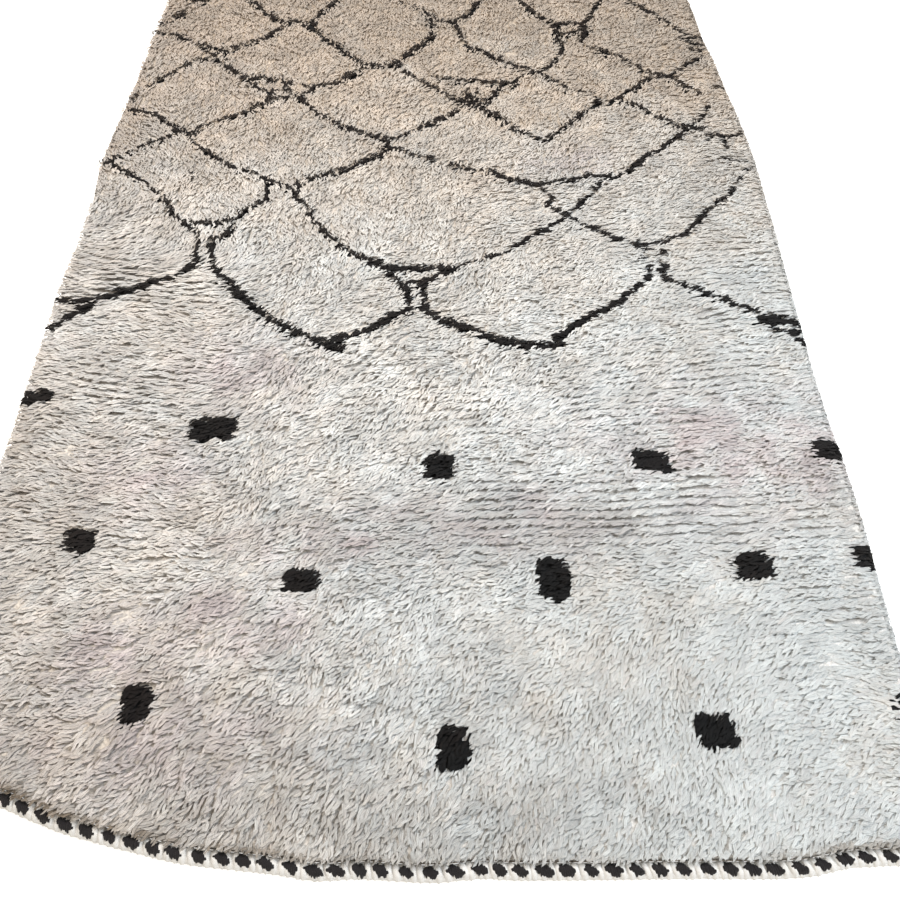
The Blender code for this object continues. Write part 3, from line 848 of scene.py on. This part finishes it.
# %% Darker wool, or lighter where the strength is below zero, in the same columns
DARKER_PATCHES = (
    (0.10, 0.61, 0.36, 0.08, 0.55),
    (0.10, 0.06, 0.50, 0.12, 0.40),
    (-0.80, 0.62, 0.10, 0.26, 0.45),
    (-0.80, 1.75, 0.14, 0.22, 0.40),
    (-0.42, 0.55, 0.18, 0.30, -0.30),
    (-0.05, 0.93, 0.26, 0.12, -0.22),
    (0.60, 0.72, 0.20, 0.14, -0.32),
    (0.42, 0.10, 0.20, 0.12, -0.30),
    (0.72, 0.15, 0.16, 0.16, -0.16),
    (0.46, 0.99, 0.16, 0.14, -0.24),
    (-0.12, 0.34, 0.14, 0.10, -0.16),
    (-0.28, 0.12, 0.16, 0.08, 0.18),
)


def darkening_of(places):
    """How much darker the wool is at each place."""
    return patch_strengths(places, DARKER_PATCHES, 1).sum(0)


# %% [markdown]
# The knots that show black are picked by where the tuft shows, a little downhill of its knot, so the chart
# lands where it was drawn. The ivory pile is far too many faces for one piece, so it is grown in bands.

# %% Shares and shapes of all tufts
tuft_count = knot_count + rim_count
all_knots = np.concatenate([knots, rim_knots])
uneven = chance.normal(0, 0.12, tuft_count) + 0.26 * wander(all_knots, 0.014, 27.5)
uneven += 0.34 * wander(all_knots, 0.033, 11.5) + 0.30 * wander(all_knots, 0.09, 25.5)
uneven[:knot_count] += clump_tone_and_seam_shade
rosiness = rosiness_of(all_knots)
quiet = calm_of(all_knots)
# Painted light: tufts in the calm near right are lighter, for the bright light there.
tone = 0.58 + 0.24 * quiet + uneven * (1 - 0.5 * quiet) - 0.35 * rosiness - darkening_of(all_knots)
rim_rise = pile_height(rim_knots) / DRAWN_HEIGHT
pile = {
    "turn": np.concatenate([turn, rim_turn]),
    "reach": np.concatenate([reach, chance.uniform(0.86, 1.04, rim_count)]),
    "rise": np.concatenate([rise, rim_rise * chance.uniform(0.84, 0.98, rim_count)]),
    "breadth": np.concatenate([breadth, chance.uniform(0.9, 1.2, rim_count)]),
    "shape": np.concatenate([chance.integers(0, UPRIGHT_SHAPES, knot_count), rim_shape]),
    "tone": np.clip(tone, 0, 1.2),
    "warmth": np.clip(warmth_of(all_knots) + chance.normal(0, 0.06, tuft_count), 0, 1),
    "rosiness": np.clip(rosiness + chance.normal(0, 0.08, tuft_count), 0, 1),
    "soil_and_shadow": np.concatenate([soil_and_shadow, np.zeros(rim_count)]),
    "blend": np.maximum(0.95 * quiet, np.interp(all_knots[:, 1], (1.3, 2.2), (0.0, 0.45))),
}
print("tufts:", tuft_count, " mean tone:", round(pile["tone"].mean(), 2))

# %% Pick the black tufts
SHOWN_AT = 0.021           # from a knot to the part of its tuft that shows, at a reach of one

ahead = heading(pile["turn"]) * pile["reach"][:, None]
black = is_black(all_knots + ahead * SHOWN_AT, chance.normal(0, 0.5, tuft_count))
tip_black = is_black(all_knots + ahead * LOCK_REACH, np.zeros(tuft_count))
pile["rise"][black] *= 1.04
pile["reach"][tip_black & ~black] *= 0.65
pile["reach"][black & ~tip_black] *= 0.78
print("black tufts:", black.sum())

# %% Grow the pile
BANDS = 5

band_of = np.minimum((all_knots[:, 1] / RUG_LENGTH * BANDS).astype(int), BANDS - 1)
parts_of_pile = [(f"ivory_pile_{band + 1}", ivory_wool, (band_of == band) & ~black) for band in range(BANDS)]
parts_of_pile.append(("black_pile", black_wool, black))
pile_pieces = []
for name, material, chosen in parts_of_pile:
    own_values = {key: numbers[chosen] for key, numbers in pile.items()}
    pile_pieces.append(grow_pile(name, material, all_knots[chosen], own_values))


def triangles(piece):
    """Number of triangles of a piece."""
    return sum(len(face.vertices) - 2 for face in piece.data.polygons)


for piece in pile_pieces:
    print(piece.name, "triangles:", triangles(piece))

# %% [markdown]
# ## The woven foundation
# Under the pile lies a plain weave of wool: warps along the rug and wefts packed between the rows of knots.
# It shows only in the gaps between tufts and from below, so it is a closed sheet 4 mm thick with the weave in
# its material.

# %% Foundation sheet
FOUNDATION = 0.0040
FOUNDATION_GRID = (46, 24)


def grid_faces(columns, rows):
    """Faces of a grid of points that run row by row, and the numbers of the points round its rim."""
    across = columns + 1
    faces = [(r * across + c, r * across + c + 1, (r + 1) * across + c + 1, (r + 1) * across + c)
             for r in range(rows) for c in range(columns)]
    rim = [*range(columns), *(r * across + columns for r in range(rows)),
           *(rows * across + c for c in range(columns, 0, -1)), *(r * across for r in range(rows, 0, -1))]
    return faces, rim


def foundation_mesh(columns, rows, thickness):
    """Closed flat sheet on the outline of the cloth."""
    u, v = np.meshgrid(np.linspace(0, 1, columns + 1), np.linspace(0, 1, rows + 1))
    flat = cloth_place(u.ravel(), v.ravel()) + SHIFT
    size = len(flat)
    verts = np.concatenate([np.concatenate([flat, np.full((size, 1), z)], 1) for z in (thickness, 0.0)])
    faces, rim = grid_faces(columns, rows)
    faces += [tuple(size + k for k in reversed(face)) for face in faces]
    faces += [(a, size + a, size + b, b) for a, b in zip(rim, rim[1:] + rim[:1])]
    mesh = bpy.data.meshes.new("foundation")
    mesh.from_pydata(verts.tolist(), [], faces)
    return mesh


foundation = add_object("foundation", foundation_mesh(*FOUNDATION_GRID, FOUNDATION))
print("foundation faces:", len(foundation.data.polygons))

# %% [markdown]
# Undyed wool yarn gives the weave a dry, matt look. Wefts are 2 mm apart, and warps twice as far. Two crossed
# waves draw it, because modelled yarns would never be seen under the pile. The materials of the foundation, the
# bed and the binding end in the same matt shader, so one function adds that to a tree. Sizes of wear, felt and
# fuzz are given as a weaver counts, by how many there are in 100 mm.

# %% Woven wool
def finish_wool(tree, colour, shade, height, relief, roughness=0.95, gloss=0.2, sheen=0.0):
    """End a material with matt wool: a colour times a shade, and a height in relief.

    relief is the strength of that, and its depth in metres.
    """
    coloured = add(tree, "ShaderNodeVectorMath", {0: colour, "Scale": shade}, operation="SCALE")
    bump = add(tree, "ShaderNodeBump", {"Strength": relief[0], "Distance": relief[1], "Height": height})
    shader = add(tree, "ShaderNodeBsdfPrincipled", {
        "Base Color": coloured, "Roughness": roughness, "IOR": 1.54, "Specular IOR Level": gloss,
        "Sheen Weight": sheen, "Normal": bump})
    add(tree, "ShaderNodeOutputMaterial", {"Surface": shader})


def weave_material(name, thread, gap, thread_mm, worn_mm):
    """Plain weave of wool, from two crossed waves on object coordinates, with patches of wear.

    Wefts are thread_mm apart, and warps are twice as far apart. A patch of wear is worn_mm wide. The gap
    colour is painted shade between the threads.
    """
    material, tree = new_material(name)
    where = add(tree, "ShaderNodeTexCoord", out="Object")
    # at a scale of one, noise has one grain and a straight wave has 20 / tau bands in each metre
    wear = add(tree, "ShaderNodeTexNoise", {"Vector": where, "Scale": 1000 / worn_mm, "Detail": 3.0})
    scale = math.tau / 20 / (thread_mm / 1000)
    warps = add(tree, "ShaderNodeTexWave", {
        "Vector": where, "Scale": scale / 2, "Distortion": 1.2, "Detail": 1.0}, out="Fac", bands_direction="X")
    wefts = add(tree, "ShaderNodeTexWave", {
        "Vector": where, "Scale": scale, "Distortion": 1.6, "Detail": 1.0}, out="Fac", bands_direction="Y")
    height = add(tree, "ShaderNodeMath", {0: warps, 1: wefts}, operation="MULTIPLY")
    # Painted shade: the gap colour stands for the shade between the threads.
    mixed = add(tree, "ShaderNodeMix", {
        "Factor": height, "A": linear(gap), "B": linear(thread)}, data_type="RGBA")
    wear_and_ply_shade = add(tree, "ShaderNodeMapRange", {"Value": wear, "To Min": 0.8, "To Max": 1.15})
    finish_wool(tree, mixed, wear_and_ply_shade, height, relief=(0.7, 0.001))
    return material


# The gap colour is painted shade between the threads.
woven_wool = weave_material("plain-woven wool foundation", thread="#CFC4B4", gap="#8E8273",
                            thread_mm=2.0, worn_mm=100 / 9)
foundation.data.materials.append(woven_wool)
print("nodes in the woven wool:", len(woven_wool.node_tree.nodes))

# %% [markdown]
# ## The felted bed of the pile
# The lower half of the tufts is packed so tightly that it felts. It is one lumpy body between the foundation
# and the loose ends, seen only as the shade between them, so it is a single mesh with a soft grain. It is
# black under the black knots. An attribute on its points carries that. Its grain, some 4.5 mm, is the size of
# the tufts' feet.

# %% Bed of the pile
BED_GRID = (106, 178)
BED_FLOOR = 0.0075         # height of the bed at its rim


def bed_mesh(columns, rows):
    """Closed lumpy body on the foundation, falling off towards the rim."""
    u, v = np.meshgrid(np.linspace(0, 1, columns + 1), np.linspace(0, 1, rows + 1))
    flat = pile_place(u.ravel(), v.ravel())
    size = len(flat)
    inner = np.clip(np.minimum(from_rim(flat)[0], from_binding(flat) + 0.009) / 0.014, 0, 1)
    lumps = 0.88 * (pile_height(flat) - KNOT_DEPTH)
    quiet = calm_of(flat)
    top = BED_FLOOR + 0.0011 * quiet - 0.0026 * combing(flat)
    top += 0.0007 * (1 - 0.7 * quiet) * wander(flat, 0.03, 15.5)
    top += (lumps + 0.0108) * np.sqrt(inner * (2 - inner))
    centre = flat.mean(0)
    flat = centre + (flat - centre) * (1 - 0.0006 / np.abs(flat - centre).max(0))
    upper = np.concatenate([flat + SHIFT, top[:, None]], 1)
    faces, rim = grid_faces(columns, rows)
    lower = upper[rim] * (1, 1, 0) + (0, 0, FOUNDATION + 0.0003)
    faces += [(a, size + k, size + (k + 1) % len(rim), rim[(k + 1) % len(rim)]) for k, a in enumerate(rim)]
    faces.append(tuple(size + k for k in reversed(range(len(rim)))))
    mesh = bpy.data.meshes.new("pile_bed")
    mesh.from_pydata(np.concatenate([upper, lower]).tolist(), [], faces, shade_flat=False)
    below = np.zeros(len(rim))
    set_numbers(mesh, "dark", np.concatenate([is_black(flat, np.zeros(size)), below]))
    # Cream of the felt: cream wool, and painted warm and cool light, as on the tufts.
    set_numbers(mesh, "warmth", np.concatenate([np.clip(warmth_of(flat), 0, 1), below]))
    return mesh


bed = add_object("pile_bed", bed_mesh(*BED_GRID))
print("bed triangles:", triangles(bed))


# %% Felted wool
def felt_material(name, pale, warm, dark, grain_mm):
    """Felted wool with a soft grain, ivory or black by the attribute on the bed."""
    material, tree = new_material(name)
    where = add(tree, "ShaderNodeTexCoord", out="Object")
    grain = add(tree, "ShaderNodeTexNoise", {
        "Vector": where, "Scale": 1000 / grain_mm, "Detail": 3.0, "Roughness": 0.6})
    warmth = add(tree, "ShaderNodeAttribute", out="Fac", attribute_name="warmth")
    is_dark = add(tree, "ShaderNodeAttribute", out="Fac", attribute_name="dark")
    choice = add(tree, "ShaderNodeMath", {0: is_dark, 1: 0.4}, operation="GREATER_THAN")
    wool = linear(pale)
    for share, other in ((warmth, warm), (choice, dark)):
        wool = add(tree, "ShaderNodeMix", {"Factor": share, "A": wool, "B": linear(other)}, data_type="RGBA")
    grained = add(tree, "ShaderNodeMapRange", {
        "Value": grain, "From Min": 0.35, "From Max": 0.65, "To Min": 0.72, "To Max": 1.06})
    finish_wool(tree, wool, grained, grain, relief=(0.8, 0.003))
    return material


felted_wool = felt_material("felted wool of the pile's bed", pale="#D0CFCC", warm="#C6B9A9", dark="#1A1A1B",
                            grain_mm=100 / 22)
bed.data.materials.append(felted_wool)
print("nodes in the felted wool:", len(felted_wool.node_tree.nodes))

# %% [markdown]
# ## The end binding
# The weaver closed the end with a cord of white yarn, laid along the edge and wrapped round and round, and
# brought a black strand up over it about every 34 mm. A yarn arc over the cord is one short curve with a round
# section. Geometry Nodes repeat it on points along the edge, so the wraps stay even where the edge curves. A
# black stitch is eight such arcs side by side, long in the middle and short at its ends, and no two stitches
# are quite alike. Their places bunch up a little where the weaver's hand did.

# %% Places along the binding
STITCHES = 46
BUNCHED_AT, BUNCHED_SPAN, BUNCHED_BY = 0.583, 0.030, 0.0075      # in shares of the way along the edge
CORD_HEIGHT = 0.0108
CORD_DIP = 0.0020          # how far a black stitch presses the cord down
EDGE_STEPS = 2000

edge_line = cloth_place(np.linspace(0, 1, EDGE_STEPS + 1), np.zeros(EDGE_STEPS + 1))
edge_way = np.gradient(edge_line, axis=0)
edge_way /= np.hypot(*edge_way.T)[:, None]
edge_out = np.stack([edge_way[:, 1], -edge_way[:, 0]], -1)


def on_edge(share, offset):
    """Place at a share of the way along the near edge, moved outwards, and the direction outwards there."""
    off = (share - BUNCHED_AT) / BUNCHED_SPAN
    k = np.clip((share - BUNCHED_BY * off * np.exp(-off ** 2)) * EDGE_STEPS, 0, EDGE_STEPS).astype(int)
    places = edge_line[k] + edge_out[k] * np.reshape(offset, (-1, 1))
    return places, np.arctan2(edge_out[k, 1], edge_out[k, 0])


def cord_height(share):
    """Height of the cord's core: lower under each black stitch."""
    phase = (share * STITCHES) % 1.0
    return CORD_HEIGHT - CORD_DIP * np.exp(-((phase - 0.5) / 0.2) ** 2)


print("length of the bound edge, m:", round(np.hypot(*np.diff(edge_line, axis=0).T).sum(), 3))

# %% The yarn-arc tree: one bent yarn on each point
arc_tree, given = new_tree("yarn arcs on an edge", {
    "Points": "Geometry", "Yarn": "Material", "Yarn Diameter": "Float",
    "Cord Width": "Float", "Steps": "Int", "Sides": "Int"}, "Arcs")
own = {key: add(arc_tree, "GeometryNodeInputNamedAttribute", {"Name": key}, data_type="FLOAT")
       for key in ("turn", "reach", "breadth", "rise")}
cord_radius = add(arc_tree, "ShaderNodeMath", {0: given["Cord Width"], 1: 0.5}, operation="MULTIPLY")
yarn_radius = add(arc_tree, "ShaderNodeMath", {0: given["Yarn Diameter"], 1: 0.5}, operation="MULTIPLY")
line = add(arc_tree, "GeometryNodeCurveArc", {
    "Resolution": given["Steps"], "Radius": cord_radius,
    "Start Angle": math.radians(-8), "Sweep Angle": math.radians(196)})
upright = add(arc_tree, "GeometryNodeTransform", {"Geometry": line, "Rotation": (math.pi / 2, 0, 0)})
section = add(arc_tree, "GeometryNodeCurvePrimitiveCircle", {
    "Resolution": given["Sides"], "Radius": yarn_radius})
tube = add(arc_tree, "GeometryNodeCurveToMesh", {
    "Curve": upright, "Profile Curve": section, "Fill Caps": True})
arc_turn = add(arc_tree, "ShaderNodeCombineXYZ", {"Z": own["turn"]})
arc_size = add(arc_tree, "ShaderNodeCombineXYZ", {"X": own["reach"], "Y": own["breadth"], "Z": own["rise"]})
arcs = add(arc_tree, "GeometryNodeInstanceOnPoints", {
    "Points": given["Points"], "Instance": tube, "Rotation": arc_turn, "Scale": arc_size})
real_arcs = add(arc_tree, "GeometryNodeRealizeInstances", {"Geometry": arcs})
soft_arcs = add(arc_tree, "GeometryNodeSetShadeSmooth", {"Geometry": real_arcs, "Shade Smooth": True})
yarn_arcs = add(arc_tree, "GeometryNodeSetMaterial", {"Geometry": soft_arcs, "Material": given["Yarn"]})
add(arc_tree, "NodeGroupOutput", {"Arcs": yarn_arcs})
print("nodes in the yarn-arc tree:", len(arc_tree.nodes))

# %% [markdown]
# The yarn of the binding is plied: fine strands, some 1.6 mm apart, slant across it, with a little fuzz. A
# slanting wave on object coordinates draws them, because modelled strands would be finer than a pixel.

# %% Plied yarn
def yarn_material(name, pale, dark, twist_mm, fuzz_mm):
    """Plied yarn: slanting strands twist_mm apart, and flecks of fuzz of fuzz_mm in the colour."""
    material, tree = new_material(name)
    where = add(tree, "ShaderNodeTexCoord", out="Object")
    # at a scale of one, a diagonal wave has 10 * sqrt(3) / tau bands in each metre
    scale = math.tau / 10 / math.sqrt(3) / (twist_mm / 1000)
    plies = add(tree, "ShaderNodeTexWave", {
        "Vector": where, "Scale": scale, "Distortion": 3.0, "Detail": 2.0, "Detail Scale": 2.0},
        out="Fac", bands_direction="DIAGONAL")
    fuzz = add(tree, "ShaderNodeTexNoise", {
        "Vector": where, "Scale": 1000 / fuzz_mm, "Detail": 3.0, "Roughness": 0.65})
    mixed = add(tree, "ShaderNodeMix", {
        "Factor": fuzz, "A": linear(dark), "B": linear(pale)}, data_type="RGBA")
    # Painted shade between the plies, darkening the yarn along its twist.
    wear_and_ply_shade = add(tree, "ShaderNodeMapRange", {"Value": plies, "To Min": 0.86, "To Max": 1.04})
    both = add(tree, "ShaderNodeMath", {0: plies, 1: fuzz}, operation="ADD")
    finish_wool(tree, mixed, wear_and_ply_shade, both, relief=(0.6, 0.0006), roughness=0.88, gloss=0.25, sheen=0.08)
    return material


white_yarn = yarn_material("plied white wool yarn", "#ECECEA", "#CBC8C2", twist_mm=1.6, fuzz_mm=100 / 26)
black_yarn = yarn_material("plied black wool yarn", "#262325", "#121011", twist_mm=1.6, fuzz_mm=100 / 26)
print("yarns:", white_yarn.name, "and", black_yarn.name)

# %% White wraps
WRAPS_PER_STITCH = 3
WHITE_YARN = 0.0108        # diameters
BLACK_YARN = 0.0044
CORD_WIDTH = 0.0240
ARC_HEIGHT = 0.0125        # of an arc as it is drawn
ARC_INSET = 0.0004         # from the middle of the binding's width


def lay_arcs(name, material, places, height, yarn, steps, values):
    """Yarn arcs over the binding, one on each place at this height. values holds their attributes."""
    mesh = point_mesh(name + "_points", places, np.full(len(places), height), values)
    return run_tree(name, mesh, arc_tree, {
        "Yarn": material, "Yarn Diameter": yarn, "Cord Width": CORD_WIDTH, "Steps": steps, "Sides": 6})


wrap_count = STITCHES * WRAPS_PER_STITCH
share = (np.arange(wrap_count) + 0.5 + chance.uniform(-0.18, 0.18, wrap_count)) / wrap_count
places, facing = on_edge(share, np.full(wrap_count, BINDING_WIDTH / 2 - ARC_INSET))
wrap_values = {
    "turn": facing + 0.34 + chance.normal(0, 0.09, wrap_count),
    "reach": 0.80 + chance.normal(0, 0.01, wrap_count),
    "breadth": chance.uniform(0.9, 1.15, wrap_count),
    "rise": cord_height(share) / ARC_HEIGHT * 0.80 + chance.normal(0, 0.03, wrap_count),
}
wraps = lay_arcs("binding_wraps", white_yarn, places, height=0.0026, yarn=WHITE_YARN, steps=9,
                 values=wrap_values)
print("white wraps:", wrap_count)

# %% Black stitches: half lengths of the eight arcs, and how far each slips towards the outer edge, in mm
STITCH_SHAPES = (
    ((0.34, 0.60, 0.84, 0.94, 0.92, 0.78, 0.58, 0.34), (0.0, -0.4, -0.6, -0.4, 0.2, 1.2, 2.4, 3.8)),
    ((0.46, 0.74, 0.90, 0.94, 0.94, 0.88, 0.70, 0.42), (0.0, -0.3, -0.4, -0.2, 0.0, 0.3, 0.8, 1.4)),
    ((0.60, 0.86, 0.92, 0.84, 0.92, 0.90, 0.66, 0.30), (-1.0, -0.4, 0.4, 0.8, 0.4, 0.6, 1.8, 3.4)),
    ((0.28, 0.52, 0.74, 0.90, 0.96, 0.88, 0.72, 0.50), (-1.2, -1.0, -0.7, -0.4, 0.0, 0.6, 1.6, 2.8)),
)

ARCS_PER_STITCH = 8
per_stitch = (STITCHES, ARCS_PER_STITCH)
chosen = chance.integers(0, len(STITCH_SHAPES), STITCHES)
shape_lengths, shape_slips = np.array(STITCH_SHAPES)[chosen].transpose(1, 0, 2)
length = (shape_lengths * 0.80 + chance.normal(0, 0.03, per_stitch)).ravel()
slip = (shape_slips + chance.normal(0, 0.3, per_stitch)).ravel() / 1000
spread = np.linspace(-0.31, 0.31, ARCS_PER_STITCH) * chance.uniform(0.85, 1.12, (STITCHES, 1))
share = np.arange(STITCHES)[:, None] + 0.5 + chance.uniform(-0.07, 0.07, (STITCHES, 1)) + spread
share = (share / STITCHES).ravel()
places, facing = on_edge(share, BINDING_WIDTH / 2 + slip - ARC_INSET)
stitch_values = {
    "turn": facing + 0.26 + chance.normal(0, 0.07, len(share)),
    "reach": length,
    "breadth": np.ones(len(share)),
    "rise": cord_height(share) / ARC_HEIGHT * (0.99 + 0.05 * (length > 0.6)) + 0.03,
}
stitches = lay_arcs("binding_black_stitches", black_yarn, places, height=0.0046, yarn=BLACK_YARN, steps=8,
                    values=stitch_values)
print("arcs of black yarn:", len(share))

# %% Core of the binding
CORE_TOP = 0.0118
CORE_STEPS = 184
CORE_SHRUNK = (0.93, 0.98)      # breadth and height, so that the core stays under its wraps

# section of the core, over the top from its inner foot to its outer one: (outwards, up) in metres
CORE_SECTION = ((-0.0118, 0.0004), (-0.0125, 0.0050), (-0.0090, 0.0100), (0.0, CORE_TOP),
                (0.0090, 0.0100), (0.0125, 0.0050), (0.0118, 0.0004))


def core_mesh():
    """Closed core of the binding, a rounded bar along the edge."""
    shares = np.linspace(0.001, 0.999, CORE_STEPS + 1)
    lines = []
    for offset, height in CORE_SECTION:
        places, _ = on_edge(shares, np.full(len(shares), BINDING_WIDTH / 2 + offset * CORE_SHRUNK[0]))
        top = height * cord_height(shares) / CORE_TOP * CORE_SHRUNK[1]
        lines.append(np.concatenate([places + SHIFT, top[:, None]], 1))
    verts = np.stack(lines, 1)
    sides = len(lines)
    faces = [(r + k, r + (k + 1) % sides, r + sides + (k + 1) % sides, r + sides + k)
             for r in range(0, CORE_STEPS * sides, sides) for k in range(sides)]
    faces += [tuple(reversed(range(sides))), tuple(CORE_STEPS * sides + k for k in range(sides))]
    mesh = bpy.data.meshes.new("binding_core")
    mesh.from_pydata(verts.reshape(-1, 3).tolist(), [], faces, shade_flat=False)
    return mesh


core = add_object("binding_core", core_mesh())
core.data.materials.append(white_yarn)
print("binding triangles:", [triangles(piece) for piece in (wraps, stitches, core)])

# %% [markdown]
# ## Hand the pieces to the frame
# Every piece rides on the rug's one body. The pile and the foundation stand for the shag solid, and the yarn
# stands for the binding's two solids.

# %% Frame calls
for piece in pile_pieces + [bed, foundation, wraps, stitches, core]:
    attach(piece, "root")
for piece in pile_pieces + [bed, foundation]:
    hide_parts("shag_cloth")
for piece in (wraps, core):
    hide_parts("end_binding")
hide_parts("binding_stitches")
for shape in list(lock_shapes.objects):
    bpy.data.objects.remove(shape, do_unlink=True)
bpy.data.collections.remove(lock_shapes)
print("pieces handed over:", len(pile_pieces) + 5)

# %% [markdown]
# ## Floor, light and camera
# A plain pale floor and soft light keep attention on the wool. A broad cool light at the right of the bound end
# makes that corner the brightest. A second one hangs over the middle, and a faint warm light from all round
# leaves the far end warmer and dimmer. The camera looks down along the rug from above its bound end.

# %% Floor
FLOOR_HALF = 9.0
FLOOR_HEIGHT = -0.0006     # just under the rug

floor_material, floor_tree = new_material("matt white floor")
floor_shader = add(floor_tree, "ShaderNodeBsdfPrincipled", {
    "Base Color": linear("#F4F4F2"), "Roughness": 0.9,
    "Emission Color": (1.0, 1.0, 1.0, 1.0), "Emission Strength": 0.5})
add(floor_tree, "ShaderNodeOutputMaterial", {"Surface": floor_shader})
floor_mesh = bpy.data.meshes.new("floor")
signs = ((-1, -1), (1, -1), (1, 1), (-1, 1))
floor_corners = [(x * FLOOR_HALF, y * FLOOR_HALF, FLOOR_HEIGHT) for x, y in signs]
floor_mesh.from_pydata(floor_corners, [], [(0, 1, 2, 3)])
floor_mesh.materials.append(floor_material)
floor = add_object("floor", floor_mesh)


# %% Lights
def area_light(name, place, target, size, power, colour):
    """Square soft light at a place, aimed at a target."""
    light = bpy.data.lights.new(name, "AREA")
    light.size = size
    light.energy = power
    light.color = linear(colour)[:3]
    holder = add_object(name, light)
    holder.location = place
    holder.rotation_euler = (Vector(target) - Vector(place)).to_track_quat("-Z", "Y").to_euler()


area_light("soft_key", (2.45, -0.9, 2.5), (0.35, -0.3, 0.0), size=2.2, power=106, colour="#E9F4FF")
area_light("soft_fill", (-0.65, 0.05, 2.2), (-0.2, 0.0, 0.0), size=1.6, power=64, colour="#FFF9F4")
world = bpy.data.worlds.new("studio")
world.use_nodes = True
background = world.node_tree.nodes["Background"]
background.inputs["Color"].default_value = linear("#FFF3E4")
background.inputs["Strength"].default_value = 0.64
bpy.context.scene.world = world
bpy.context.scene.view_settings.view_transform = "Standard"

# %% Camera
CAMERA_PLACE = Vector((0.0392 + SHIFT[0], -0.347 + SHIFT[1], 1.4656))
PHOTO_PIXELS = 900         # breadth of the photo
FOCAL_PIXELS = 950.0       # distance from the lens to the picture, in the same pixels
LOOK_DOWN = math.radians(52.16)
LOOK_ASIDE = math.radians(0.52)

level = math.cos(LOOK_DOWN)
ahead = Vector((math.sin(LOOK_ASIDE) * level, math.cos(LOOK_ASIDE) * level, -math.sin(LOOK_DOWN)))
right = Vector((math.cos(LOOK_ASIDE), -math.sin(LOOK_ASIDE), 0.0))
up = right.cross(ahead)
camera_data = bpy.data.cameras.new("camera")
camera_data.sensor_width = 36.0
camera_data.lens = FOCAL_PIXELS / PHOTO_PIXELS * camera_data.sensor_width
camera = add_object("camera", camera_data)
turned_to = Matrix((right, up, -ahead)).transposed()
camera.matrix_world = Matrix.Translation(CAMERA_PLACE) @ turned_to.to_4x4()
bpy.context.scene.camera = camera
print("camera height over the floor, m:", round(CAMERA_PLACE.z, 3))
